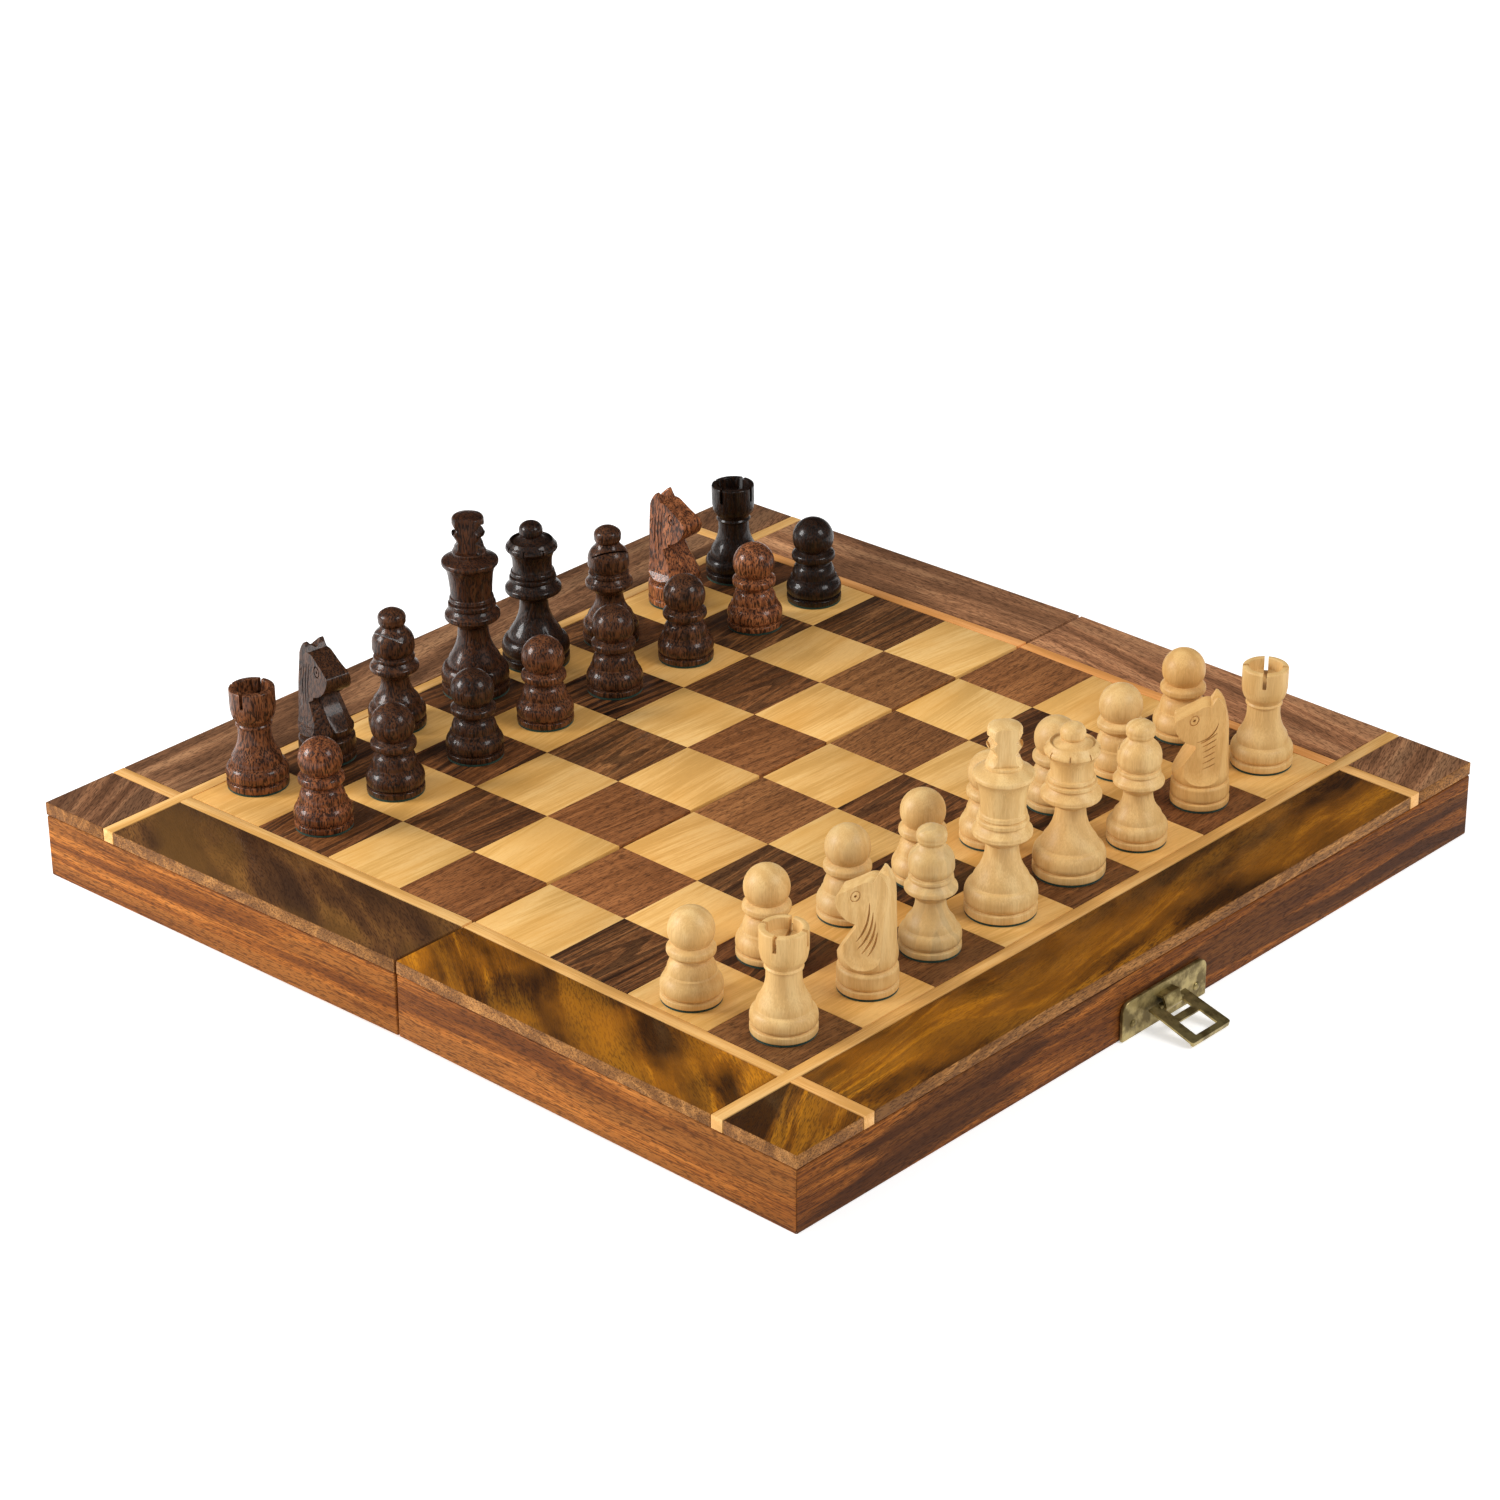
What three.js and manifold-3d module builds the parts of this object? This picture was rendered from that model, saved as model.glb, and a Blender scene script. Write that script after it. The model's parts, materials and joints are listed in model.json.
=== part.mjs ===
// A folding wooden chess board, opened flat, with its 32 turned chessmen set up.
// Millimetres, +Z up. X runs along the seam between the two halves, -Y is the side
// of the pale men and of the latch. The origin is under the middle of the whole
// object, on the table. The two halves hang on one hinge line at the bottom of the
// seam: they fold downwards until their open undersides meet and make a box.
import * as THREE from 'three';
import { mergeVertices } from 'three/addons/utils/BufferGeometryUtils.js';
import Module from 'manifold-3d';

const wasm = await Module();
wasm.setup();

// ---- board ----
const squareSide = 29.9;
const inlayWidth = 4.1; // pale strips around the squares, which run out to the edges
const borderWidth = 26.3; // planks outside the strips
const topThickness = 4.1; // squares, strips and planks
const railHeight = 19.8;
const outerRailThickness = 9;
const sideRailThickness = 9;
const seamRailThickness = 11;
const glueGap = 0.3; // between pieces that are glued face to face
const seamGap = 0.3; // between the two halves when the board is level
const halfLength = 4 * squareSide + inlayWidth + borderWidth; // from the seam or the middle out

// ---- hinges ----
const barrelRadius = 2.0;
const hingePinRadius = 0.8;
const pinClearance = 0.25;
const hingeLength = 26;
const leafWidth = 9;
const leafThickness = 1.2;
const knuckleGap = 0.4;
const hingeFromMiddle = 95; // each hinge's middle to the board's middle
const hingeFit = 0.4; // around a leaf in its mortise
const barrelFit = 0.5; // around a barrel in its notch

// ---- latch ----
const latchOffset = 2; // the latch sits a little to the right of the middle
const plateLength = 37.5;
const plateHeight = 12;
const plateThickness = 1.2;
const plateCorner = 3;
const plateLift = 0.3; // above the rail's lower edge
const haspPivotHeight = 6.2;
const haspPivotReach = 3.4; // from the rail's face to the hasp's bar
const haspLength = 15.4; // from the bar to the tip
const haspRootWidth = 16.5;
const haspTipWidth = 18.5;
const haspThickness = 1;
const haspBarRadius = 0.75;
const haspBarClearance = 0.35;
const tongueWidth = 7;
const tongueWall = 0.9;
const haspTipFloat = 0.3; // under the lip at the hasp's tip
const lipHeight = 1.5;
const windowSide = 0.6; // between the tongue and the arms beside it
const firstWindowEnd = 4.6;
const crossbarWidth = 2.4;
const secondWindowWidth = 9.6;
const secondWindowEnd = 13.4;
const catchLength = 22;
const catchHeight = 9.5;
const hookWidth = 6.5;
const hookReach = 3.6;
const hookRise = 2;
const hookThickness = 1.2;
const hookHeight = 2.6; // of the hook's upper side above the rail's lower edge

// ---- chessmen ----
const manGap = 0.3; // felt between a man's foot and the board
const pieceSizes = {
  king: { height: 59, foot: 10.5, waist: 4.7, waistHeight: 20.5, collar: 8.6, head: 8.8 },
  queen: { height: 47, foot: 10.6, waist: 4.5, waistHeight: 20, collar: 8.7, head: 8 },
  bishop: { height: 38.5, foot: 8.9, waist: 4.2, waistHeight: 15.5, collar: 7.4, head: 6.4 },
  knight: { height: 37, foot: 8.8, footHeight: 7.8, neck: 7.2, thickness: 12.5, muzzle: 8.5 },
  rook: { height: 32, foot: 9.4, waist: 4.9, waistHeight: 17.5, collar: 5.4, head: 6.8 },
  pawn: { height: 28, foot: 8.75, waist: 4.6, waistHeight: 12.6, collar: 6.9, head: 6.6 },
};
const turnedSides = 14;
const pawnSides = 12;

// ---- materials ----
const finish = (name, color, roughness, metalness = 0) => {
  const material = new THREE.MeshStandardMaterial({ color, roughness, metalness });
  material.name = name;
  return material;
};
const materials = {
  paleWood: finish('boxwood', 0xe2c48d, 0.45),
  darkWood: finish('dark_stained_wood', 0x45281c, 0.35),
  railWood: finish('rail_wood', 0x6d4127, 0.5),
  plankWood: finish('plank_wood', 0x7a5234, 0.4),
  squareWood: finish('square_wood', 0x8e6238, 0.45),
  inlayWood: finish('inlay_wood', 0xd9b070, 0.45),
  brass: finish('brass', 0xa89254, 0.35, 0.9),
};

// ---- solid helpers ----
function toSolid(geometry) {
  const bare = geometry.index ? geometry.toNonIndexed() : geometry.clone();
  bare.deleteAttribute('normal');
  bare.deleteAttribute('uv');
  const merged = mergeVertices(bare, 1e-4);
  return new wasm.Manifold(new wasm.Mesh({
    numProp: 3,
    vertProperties: new Float32Array(merged.attributes.position.array),
    triVerts: new Uint32Array(merged.index.array),
  }));
}

function toGeometry(solid) {
  const mesh = solid.getMesh();
  const geometry = new THREE.BufferGeometry();
  geometry.setAttribute('position', new THREE.BufferAttribute(mesh.vertProperties, 3));
  geometry.setIndex(new THREE.BufferAttribute(mesh.triVerts, 1));
  return geometry;
}

const addAll = (solids) => solids.reduce((whole, solid) => whole.add(solid));
const cutAll = (solid, cutters) => cutters.reduce((left, cutter) => left.subtract(cutter), solid);

function boxGeometry([x0, x1], [y0, y1], [z0, z1]) {
  const box = new THREE.BoxGeometry(x1 - x0, y1 - y0, z1 - z0);
  return box.translate((x0 + x1) / 2, (y0 + y1) / 2, (z0 + z1) / 2);
}

const boxSolid = (x, y, z) => toSolid(boxGeometry(x, y, z));

// A cylinder along X through a point in the YZ plane.
function rodAlongX(radius, [x0, x1], y, z, sides = 16) {
  const rod = new THREE.CylinderGeometry(radius, radius, x1 - x0, sides).rotateZ(Math.PI / 2);
  return toSolid(rod.translate((x0 + x1) / 2, y, z));
}

// A profile of [radius, height] points turned about +Z.
function turn(profile, sides) {
  const points = profile.map(([radius, height]) => new THREE.Vector2(radius, height));
  return new THREE.LatheGeometry(points, sides).rotateX(Math.PI / 2);
}

function outline(points) {
  return new THREE.Shape(points.map(([x, y]) => new THREE.Vector2(x, y)));
}

// ---- the object and its two halves ----
const tilt = Math.asin(barrelRadius / halfLength); // both halves lean on the hinge barrels
const haspDrop = haspPivotHeight - haspPivotReach * Math.sin(tilt) - lipHeight - haspTipFloat;
const haspLean = Math.asin(haspDrop / haspLength); // below level, with its tip on the table
const latchReach = haspPivotReach + haspLength * Math.cos(haspLean);
const catchReach = glueGap + plateThickness + hookReach;
const object = new THREE.Group();
object.position.y = (latchReach - catchReach) / 2; // the latch reaches out further than the catch

// In a half's own frame y is 0 at the seam and z is 0 at the rails' underside. The near
// half is at -y and the far half at +y, so side is -1 or +1.
function makeHalf(side) {
  const half = new THREE.Group();
  half.position.z = barrelRadius;
  half.rotation.x = -side * tilt;
  object.add(half);
  return half;
}

const nearHalf = makeHalf(-1);
const farHalf = makeHalf(1);
const halves = [
  { name: 'near', side: -1, group: nearHalf, edge: 'front' },
  { name: 'far', side: 1, group: farHalf, edge: 'back' },
];

function place(group, name, geometry, material, position = [0, 0, 0]) {
  const mesh = new THREE.Mesh(geometry, material);
  mesh.name = name;
  mesh.position.set(...position);
  group.add(mesh);
  return mesh;
}

// [from, to] along y in a half, given distances from the seam.
const across = (side, from, to) => (side > 0 ? [from, to] : [-to, -from]);
const topSpan = [railHeight + glueGap, railHeight + glueGap + topThickness];
const topHeight = topSpan[1];
const innerEdge = seamGap / 2;
const stripIn = 4 * squareSide; // the strips' inner and outer edges, from the middle
const stripOut = stripIn + inlayWidth;

// ---- frame rails ----
// The corner blocks of the top are one piece with the outer rail and sink a little
// way into the frame, so the side rails are lower under them.
const cornerSink = 1;

function addOuterRail({ name, side, group }) {
  const rail = boxSolid([-halfLength, halfLength],
    across(side, halfLength - outerRailThickness, halfLength), [0, railHeight]);
  const blocks = [-1, 1].map((end) => {
    const from = stripOut + glueGap;
    const reach = end > 0 ? [from, halfLength] : [-halfLength, -from];
    return boxSolid(reach, across(side, from, halfLength), [railHeight - cornerSink, topHeight]);
  });
  place(group, `${name}_outer_rail`, toGeometry(addAll([rail, ...blocks])), materials.railWood);
}

function addSideRails({ name, side, group }) {
  const length = across(side, innerEdge, halfLength - outerRailThickness - glueGap);
  for (const [hand, sign] of [['left', -1], ['right', 1]]) {
    const reach = sign > 0 ? [halfLength - sideRailThickness, halfLength] : [-halfLength, sideRailThickness - halfLength];
    const full = boxSolid(reach, length, [0, railHeight - cornerSink - glueGap]);
    const raised = boxSolid(reach, across(side, innerEdge, stripOut), [0, railHeight]);
    place(group, `${name}_${hand}_rail`, toGeometry(full.add(raised)), materials.railWood);
  }
}

function addSeamRail({ name, side, group }) {
  const inner = halfLength - sideRailThickness - glueGap;
  const rail = boxSolid([-inner, inner], across(side, innerEdge, seamRailThickness), [0, railHeight]);
  const cuts = [-hingeFromMiddle, hingeFromMiddle].flatMap((middle) => {
    const reach = hingeLength / 2 + hingeFit;
    const along = [middle - reach, middle + reach];
    return [
      boxSolid(along, across(side, -1, leafWidth + hingeFit), [-1, leafThickness + hingeFit]),
      boxSolid(along, across(side, -1, barrelRadius + barrelFit), [-1, barrelRadius + barrelFit]),
    ];
  });
  place(group, `${name}_seam_rail`, toGeometry(cutAll(rail, cuts)), materials.railWood);
}

// ---- playing surface ----
function addField({ name, side, group }) {
  const reach = stripIn - glueGap;
  place(group, `${name}_field`, boxGeometry([-reach, reach], across(side, innerEdge, reach), topSpan),
    materials.squareWood);
}

function addInlay({ name, side, group }) {
  const longStrip = boxSolid([-halfLength, halfLength], across(side, stripIn, stripOut), topSpan);
  const sideStrips = [-1, 1].map((sign) => {
    const reach = sign > 0 ? [stripIn, stripOut] : [-stripOut, -stripIn];
    return boxSolid(reach, across(side, innerEdge, halfLength), topSpan);
  });
  place(group, `${name}_inlay`, toGeometry(addAll([longStrip, ...sideStrips])), materials.inlayWood);
}

function addPlanks({ name, side, group, edge }) {
  const out = stripOut + glueGap;
  const inn = stripIn - glueGap;
  place(group, `${name}_${edge}_plank`,
    boxGeometry([-inn, inn], across(side, out, halfLength), topSpan), materials.plankWood);
  for (const [hand, sign] of [['left', -1], ['right', 1]]) {
    const reach = sign > 0 ? [out, halfLength] : [-halfLength, -out];
    place(group, `${name}_${hand}_plank`, boxGeometry(reach, across(side, innerEdge, inn), topSpan),
      materials.plankWood);
  }
}

// ---- hinges ----
// Three knuckles share the hinge's length: the near leaf has the outer two.
function addHinge(hand, middle) {
  const ends = [middle - hingeLength / 2, middle + hingeLength / 2];
  const knuckle = (hingeLength - 2 * knuckleGap) / 3;
  const starts = [0, 1, 2].map((k) => ends[0] + k * (knuckle + knuckleGap));
  const knuckleSpans = starts.map((from) => [from, from + knuckle]);
  const bore = rodAlongX(hingePinRadius + pinClearance, [ends[0] - 1, ends[1] + 1], 0, 0);
  const barrel = (span) => rodAlongX(barrelRadius, span, 0, 0);
  const leaf = (side, spans, freeSpans) => {
    const plate = boxSolid(ends, across(side, barrelRadius + knuckleGap, leafWidth), [0, leafThickness]);
    const necks = spans.map((span) => boxSolid(span, across(side, 0, barrelRadius + 1), [0, leafThickness]));
    const solid = addAll([plate, ...necks, ...spans.map(barrel)]);
    const clear = freeSpans.map((span) => rodAlongX(barrelRadius + knuckleGap, span, 0, 0));
    return toGeometry(cutAll(solid, [bore, ...clear]));
  };
  const [first, second, third] = knuckleSpans;
  place(nearHalf, `${hand}_hinge_near_leaf`, leaf(-1, [first, third], []), materials.brass);
  place(farHalf, `${hand}_hinge_far_leaf`, leaf(1, [second], []), materials.brass);
  place(nearHalf, `${hand}_hinge_pin`, toGeometry(rodAlongX(hingePinRadius, ends, 0, 0)), materials.brass);
}

// ---- latch ----
// A plate with rounded upper corners, standing against a rail's outer face. Its outline
// is drawn in the XZ plane and given its thickness along y, away from the rail.
function plateSolid(side, length, height) {
  const half = length / 2;
  const shape = outline([[-half, 0], [half, 0]]);
  shape.lineTo(half, height - plateCorner);
  shape.absarc(half - plateCorner, height - plateCorner, plateCorner, 0, Math.PI / 2, false);
  shape.absarc(plateCorner - half, height - plateCorner, plateCorner, Math.PI / 2, Math.PI, false);
  const sheet = new THREE.ExtrudeGeometry(shape, { depth: plateThickness, bevelEnabled: false, curveSegments: 4 });
  sheet.rotateX(Math.PI / 2); // the outline's y becomes z, and the sheet grows towards -y
  const face = halfLength + glueGap;
  sheet.translate(latchOffset, side > 0 ? face + plateThickness : -face, plateLift);
  return toSolid(sheet);
}

function addLatchPlate() {
  const axisY = -(halfLength + haspPivotReach);
  const outer = haspBarRadius + haspBarClearance + tongueWall;
  const span = [latchOffset - tongueWidth / 2, latchOffset + tongueWidth / 2];
  const tongue = rodAlongX(outer, span, axisY, haspPivotHeight, 12);
  const back = -(halfLength + glueGap + plateThickness);
  const root = boxSolid(span, [axisY, back + 0.5], [haspPivotHeight, haspPivotHeight + outer - 0.2]);
  const hole = rodAlongX(haspBarRadius + haspBarClearance, [span[0] - 1, span[1] + 1], axisY, haspPivotHeight, 12);
  const solid = addAll([plateSolid(-1, plateLength, plateHeight), tongue, root]).subtract(hole);
  place(nearHalf, 'latch_plate', toGeometry(solid), materials.brass);
}

// The hasp in its own frame: the bar lies along X at the origin and the flat loop
// reaches out along -Y. It rests on the table with its tip.
function addHasp() {
  const back = 1.3;
  const flare = (haspTipWidth - haspRootWidth) / 2 / haspLength;
  const half = (reach) => haspRootWidth / 2 + flare * reach;
  const frame = outline([[-half(-back), back], [-half(haspLength), -haspLength],
    [half(haspLength), -haspLength], [half(-back), back]]);
  const plate = new THREE.ExtrudeGeometry(frame, { depth: haspThickness, bevelEnabled: false });
  plate.translate(0, 0, -haspThickness / 2);
  const firstHalf = tongueWidth / 2 + windowSide;
  const windows = [
    boxSolid([-firstHalf, firstHalf], [-firstWindowEnd, back + 1], [-2, 2]),
    boxSolid([-secondWindowWidth / 2, secondWindowWidth / 2],
      [-secondWindowEnd, -(firstWindowEnd + crossbarWidth)], [-2, 2]),
  ];
  const bar = rodAlongX(haspBarRadius, [-firstHalf - 1, firstHalf + 1], 0, 0, 12);
  const lip = boxSolid([-half(haspLength) + 0.5, half(haspLength) - 0.5],
    [-haspLength, 1 - haspLength], [-lipHeight, 0]);
  const solid = cutAll(toSolid(plate), windows).add(bar).add(lip);
  const hasp = place(nearHalf, 'latch_hasp', toGeometry(solid), materials.brass,
    [latchOffset, -(halfLength + haspPivotReach), haspPivotHeight]);
  hasp.rotation.x = haspLean - tilt;
}

function addCatch() {
  const back = halfLength + glueGap + plateThickness;
  const span = [latchOffset - hookWidth / 2, latchOffset + hookWidth / 2];
  const tab = boxSolid(span, [back - 0.5, back + hookReach], [hookHeight, hookHeight + hookThickness]);
  const nose = boxSolid(span, [back + hookReach - hookThickness, back + hookReach],
    [hookHeight, hookHeight + hookThickness + hookRise]);
  const solid = addAll([plateSolid(1, catchLength, catchHeight), tab, nose]);
  place(farHalf, 'catch_plate', toGeometry(solid), materials.brass);
}

// ---- turned chessmen ----
// Every man has the same foot: a low disc, a groove, a swelling body and a small
// shoulder, which then runs in a hollow curve up to the waist.
const footDisc = 2.8;
const footShoulder = 9.2;

function footProfile({ foot, waist, waistHeight, shoulder = foot - 2.6, shoulderHeight = footShoulder }) {
  const bulge = (footDisc + shoulderHeight) / 2;
  const hollow = (shoulder + 2 * waist) / 3;
  return [
    [0, 0], [foot, 0], [foot, footDisc], [foot - 0.7, footDisc + 0.3], [foot, bulge],
    [shoulder + 0.9, shoulderHeight - 0.8], [shoulder, shoulderHeight],
    [hollow, (shoulderHeight + 1.2 * waistHeight) / 2.2], [waist, waistHeight],
  ];
}

// A stack of rings that ends at `top`, widest in the lower third.
function collarProfile(collar, bottom, top, neck) {
  const height = top - bottom;
  return [
    [collar - 1.6, bottom + 0.12 * height], [collar, bottom + 0.35 * height],
    [collar - 0.9, bottom + 0.62 * height], [(collar + neck) / 2, top],
  ];
}

const collarRise = 10; // height of the ring stack on the king and the queen

function kingProfile(p) {
  const collarTop = p.waistHeight + collarRise;
  const cupTop = p.height - 16;
  const knob = 5;
  return [
    ...footProfile(p), ...collarProfile(p.collar, p.waistHeight, collarTop, p.head - 2.5),
    [p.head - 2.2, collarTop + 2], [p.head - 1.8, cupTop - 5], [p.head, cupTop],
    [knob + 0.2, cupTop + 2], [knob, cupTop + 4], [knob - 0.8, cupTop + 5.6], [knob, cupTop + 7.4],
    [knob - 0.7, cupTop + 9.6], [knob, p.height - 2.6], [knob - 1.6, p.height - 0.5], [0, p.height],
  ];
}

function queenProfile(p) {
  const collarTop = p.waistHeight + collarRise;
  const rim = p.height - 6.5;
  const ball = 3.5;
  return [
    ...footProfile(p), ...collarProfile(p.collar, p.waistHeight, collarTop, p.head - 2),
    [p.head - 1.9, collarTop + 2], [p.head - 1.2, rim - 4.6], [p.head, rim - 2.2], [p.head - 1.3, rim],
    [ball - 0.5, rim + 0.6], [ball, p.height - ball], [ball - 1.2, p.height - 0.8], [0, p.height],
  ];
}

function bishopProfile(p) {
  const collarTop = p.waistHeight + 7;
  const neckHeight = p.height - 5.5;
  const disc = 4.2;
  return [
    ...footProfile(p), ...collarProfile(p.collar, p.waistHeight, collarTop, p.head - 1),
    [p.head, collarTop + 4], [p.head - 0.9, collarTop + 7.5], [disc - 0.7, neckHeight],
    [disc, p.height - 2.4], [disc - 1.4, p.height - 0.4], [0, p.height],
  ];
}

function pawnProfile(p) {
  const ringTop = p.waistHeight + 4;
  const centre = p.height - p.head + 0.4;
  const step = 7.2;
  const foot = footProfile({ ...p, shoulder: step, shoulderHeight: 8.6 });
  return [
    ...foot, [p.collar, p.waistHeight + 1.8], [p.collar - 1.4, ringTop],
    [p.head, centre], [p.head * 0.72, centre + 0.68 * p.head], [0, p.height],
  ];
}

const rookWall = 1.9;
const rookDepth = 3.6;
const crenelWidth = 1.3;

function rookProfile(p) {
  const drum = p.waistHeight + 4;
  return [
    ...footProfile(p), [p.collar, p.waistHeight + 0.6], [p.collar + 0.4, p.waistHeight + 2],
    [p.head - 0.2, drum + 2], [p.head, p.height - 3], [p.head - 0.3, p.height],
    [p.head - rookWall, p.height], [p.head - rookWall - 0.6, p.height - rookDepth], [0, p.height - rookDepth - 0.8],
  ];
}

// The rook's rim is sawn through twice, at right angles.
function rookGeometry(p) {
  const solid = toSolid(turn(rookProfile(p), turnedSides));
  const reach = [-p.foot, p.foot];
  const slot = [-crenelWidth / 2, crenelWidth / 2];
  const depth = [p.height - rookDepth + 0.5, p.height + 1];
  return toGeometry(cutAll(solid, [boxSolid(reach, slot, depth), boxSolid(slot, reach, depth)]));
}

// A knight's head is sawn from a turned blank: a side outline with flat cheeks. The
// horse looks along +Y in its own frame.
function knightGeometry(p) {
  const top = p.height;
  const base = p.footHeight;
  const foot = toSolid(turn([
    [0, 0], [p.foot, 0], [p.foot, footDisc], [p.foot - 0.6, footDisc + 0.3], [p.foot, base - 2.2],
    [p.foot - 0.8, base], [0, base],
  ], turnedSides));
  const side = outline([
    [-p.neck, base - 1], [p.neck + 0.8, base - 1], [p.neck + 1.2, base + 1.6], [p.neck - 3, top - 21],
    [0.6, top - 16.6], [1.6, top - 14.8], [6.4, top - 14.4], [8, top - 11], [7.6, top - 8], [1, top - 2.6],
    [-1.6, top - 2.6], [-3.6, top], [-5.6, top - 3.6], [-p.neck, top - 9],
  ]);
  const slab = new THREE.ExtrudeGeometry(side, { depth: p.thickness, bevelEnabled: false });
  slab.translate(0, 0, -p.thickness / 2);
  slab.rotateY(Math.PI / 2).rotateX(Math.PI / 2); // the outline's x becomes y, its y becomes z
  const envelope = toSolid(turn([[0, 0], [p.foot - 0.1, 0], [p.foot - 0.1, top], [0, top]], 2 * turnedSides));
  const cheek = p.muzzle / 2;
  const cuts = [-1, 1].map((sign) => {
    const reach = sign > 0 ? [cheek, p.foot + 1] : [-p.foot - 1, -cheek];
    return boxSolid(reach, [-p.neck + 3, p.foot + 2], [top - 20, top + 1]);
  });
  const head = cutAll(toSolid(slab).intersect(envelope), cuts);
  return toGeometry(head.add(foot));
}

const profiles = { king: kingProfile, queen: queenProfile, bishop: bishopProfile, pawn: pawnProfile };

function manGeometry(kind) {
  const sizes = pieceSizes[kind];
  if (kind === 'knight') return knightGeometry(sizes);
  if (kind === 'rook') return rookGeometry(sizes);
  return turn(profiles[kind](sizes), kind === 'pawn' ? pawnSides : turnedSides);
}

// The men are set down by hand, so each stands a little off its square's middle:
// [file, kind, offset x, offset y, turn in degrees].
const files = 'abcdefgh';
const backRows = {
  white: [
    ['a', 'rook', -0.5, 0, 20], ['b', 'knight', 2.5, -1, -4], ['c', 'bishop', 0.5, 0.5, 0],
    ['d', 'king', 0.5, 0, 0], ['e', 'queen', 1.5, 0.5, 0], ['f', 'bishop', -0.5, -2, 0],
    ['g', 'knight', 1, -0.5, 38], ['h', 'rook', 3, 1, 35],
  ],
  black: [
    ['a', 'rook', 4, 6, 20], ['b', 'knight', 0.5, 4, 150], ['c', 'bishop', -0.5, 4, 0],
    ['d', 'king', 2.5, 3.5, 0], ['e', 'queen', -0.5, 4, 0], ['f', 'bishop', -3.5, -2.5, 0],
    ['g', 'knight', 1, 2, 155], ['h', 'rook', -2, 1, 10],
  ],
};
const pawnRows = {
  white: [[-4.5, 0.5], [-3, 1.5], [-0.5, 0.5], [0, -1], [1, 0], [1, 0], [0.5, -0.5], [2, 0.5]],
  black: [[-1.5, 1], [-2, 1.5], [0, 0.5], [0.5, 1], [0.5, 0.5], [1.5, -0.5], [3.5, -0.5], [0.5, -1.5]],
};

function addMan(group, colour, row, file, kind, offset, turned, name) {
  const x = (file - 3.5) * squareSide + offset[0];
  const y = (row - 4.5) * squareSide + offset[1];
  const material = colour === 'white' ? materials.paleWood : materials.darkWood;
  const man = place(group, name, manGeometry(kind), material, [x, y, topHeight + manGap]);
  man.rotation.z = THREE.MathUtils.degToRad(turned);
}

function addMen(colour, group, backRow, pawnRow) {
  for (const [letter, kind, dx, dy, turned] of backRows[colour]) {
    const twin = kind === 'king' || kind === 'queen' ? '' : `_${letter}`;
    addMan(group, colour, backRow, files.indexOf(letter), kind, [dx, dy], turned, `${colour}_${kind}${twin}`);
  }
  pawnRows[colour].forEach((offset, file) => {
    addMan(group, colour, pawnRow, file, 'pawn', offset, 0, `${colour}_pawn_${files[file]}`);
  });
}

// ---- assembly ----
for (const half of halves) {
  addOuterRail(half);
  addSideRails(half);
  addSeamRail(half);
  addField(half);
  addInlay(half);
  addPlanks(half);
}
addHinge('left', -hingeFromMiddle);
addHinge('right', hingeFromMiddle);
addLatchPlate();
addHasp();
addCatch();
addMen('white', nearHalf, 1, 2);
addMen('black', farHalf, 8, 7);

export default object;
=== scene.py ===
import json
import math
import random

import bmesh
import bpy
from mathutils import Matrix, Vector


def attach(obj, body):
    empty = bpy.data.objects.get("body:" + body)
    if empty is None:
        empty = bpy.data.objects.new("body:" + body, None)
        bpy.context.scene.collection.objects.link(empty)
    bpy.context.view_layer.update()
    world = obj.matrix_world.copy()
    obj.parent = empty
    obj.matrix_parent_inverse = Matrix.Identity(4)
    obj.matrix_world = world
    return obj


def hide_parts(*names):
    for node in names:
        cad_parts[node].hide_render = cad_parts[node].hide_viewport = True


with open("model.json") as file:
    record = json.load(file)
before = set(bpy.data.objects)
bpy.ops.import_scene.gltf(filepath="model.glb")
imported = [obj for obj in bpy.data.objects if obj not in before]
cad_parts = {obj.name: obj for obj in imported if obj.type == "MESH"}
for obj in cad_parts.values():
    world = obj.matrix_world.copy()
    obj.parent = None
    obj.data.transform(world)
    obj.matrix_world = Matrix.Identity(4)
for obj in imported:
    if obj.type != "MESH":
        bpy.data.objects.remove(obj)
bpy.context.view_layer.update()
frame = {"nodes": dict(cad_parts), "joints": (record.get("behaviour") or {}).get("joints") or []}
print("frame loaded:", len(frame["nodes"]), "nodes")

mm = 0.001  # every shape is drawn in millimetres and made metres when it is placed

board = {
    "square": 29.9,
    "inlay": 4.1,
    "border": 26.3,
    "topThickness": 4.1,
    "railHeight": 19.8,
    "railThickness": 9.0,
    "seamRail": 11.0,
    "glueGap": 0.3,
    "seamGap": 0.3,
    "veneerGap": 0.06,  # between two squares
    "stripJoint": 0.05,  # where two strips cross
    "seamWear": 0.22,  # how far the squares stop short of the fold
    "unevenness": 0.05,  # the most that a square lies below the others
    "squareEdge": 0.12,
    "stripEdge": 0.15,
    "softEdge": 0.22,
    "wornEdge": 0.55,
    "edgeDepth": 0.44,  # how far in from the rim the end grain shows
    "mitreGap": 0.04,
}
hinge = {
    "barrel": 2.0,
    "leafWidth": 9.0,
    "length": 26.0,
    "fromMiddle": 95.0,
    "leafFit": 0.4,
    "barrelFit": 0.5,
    "mortise": 1.6,
    "barrelMortise": 2.5,
    "screw": 1.9,  # radius of a screw's head
    "screwSpread": 8.84,
    "screwRow": 5.76,  # from the fold to the screws
}
halfLength = 4 * board["square"] + board["inlay"] + board["border"]
stripIn = 4 * board["square"]
stripOut = stripIn + board["inlay"]
topLow = board["railHeight"] + board["glueGap"]
topHigh = topLow + board["topThickness"]
halfTilt = math.asin(hinge["barrel"] / halfLength)  # each half leans on the hinge barrels
foldLine = Vector(next(j for j in frame["joints"] if j["name"] == "board_fold")["pos_m"])


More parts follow.
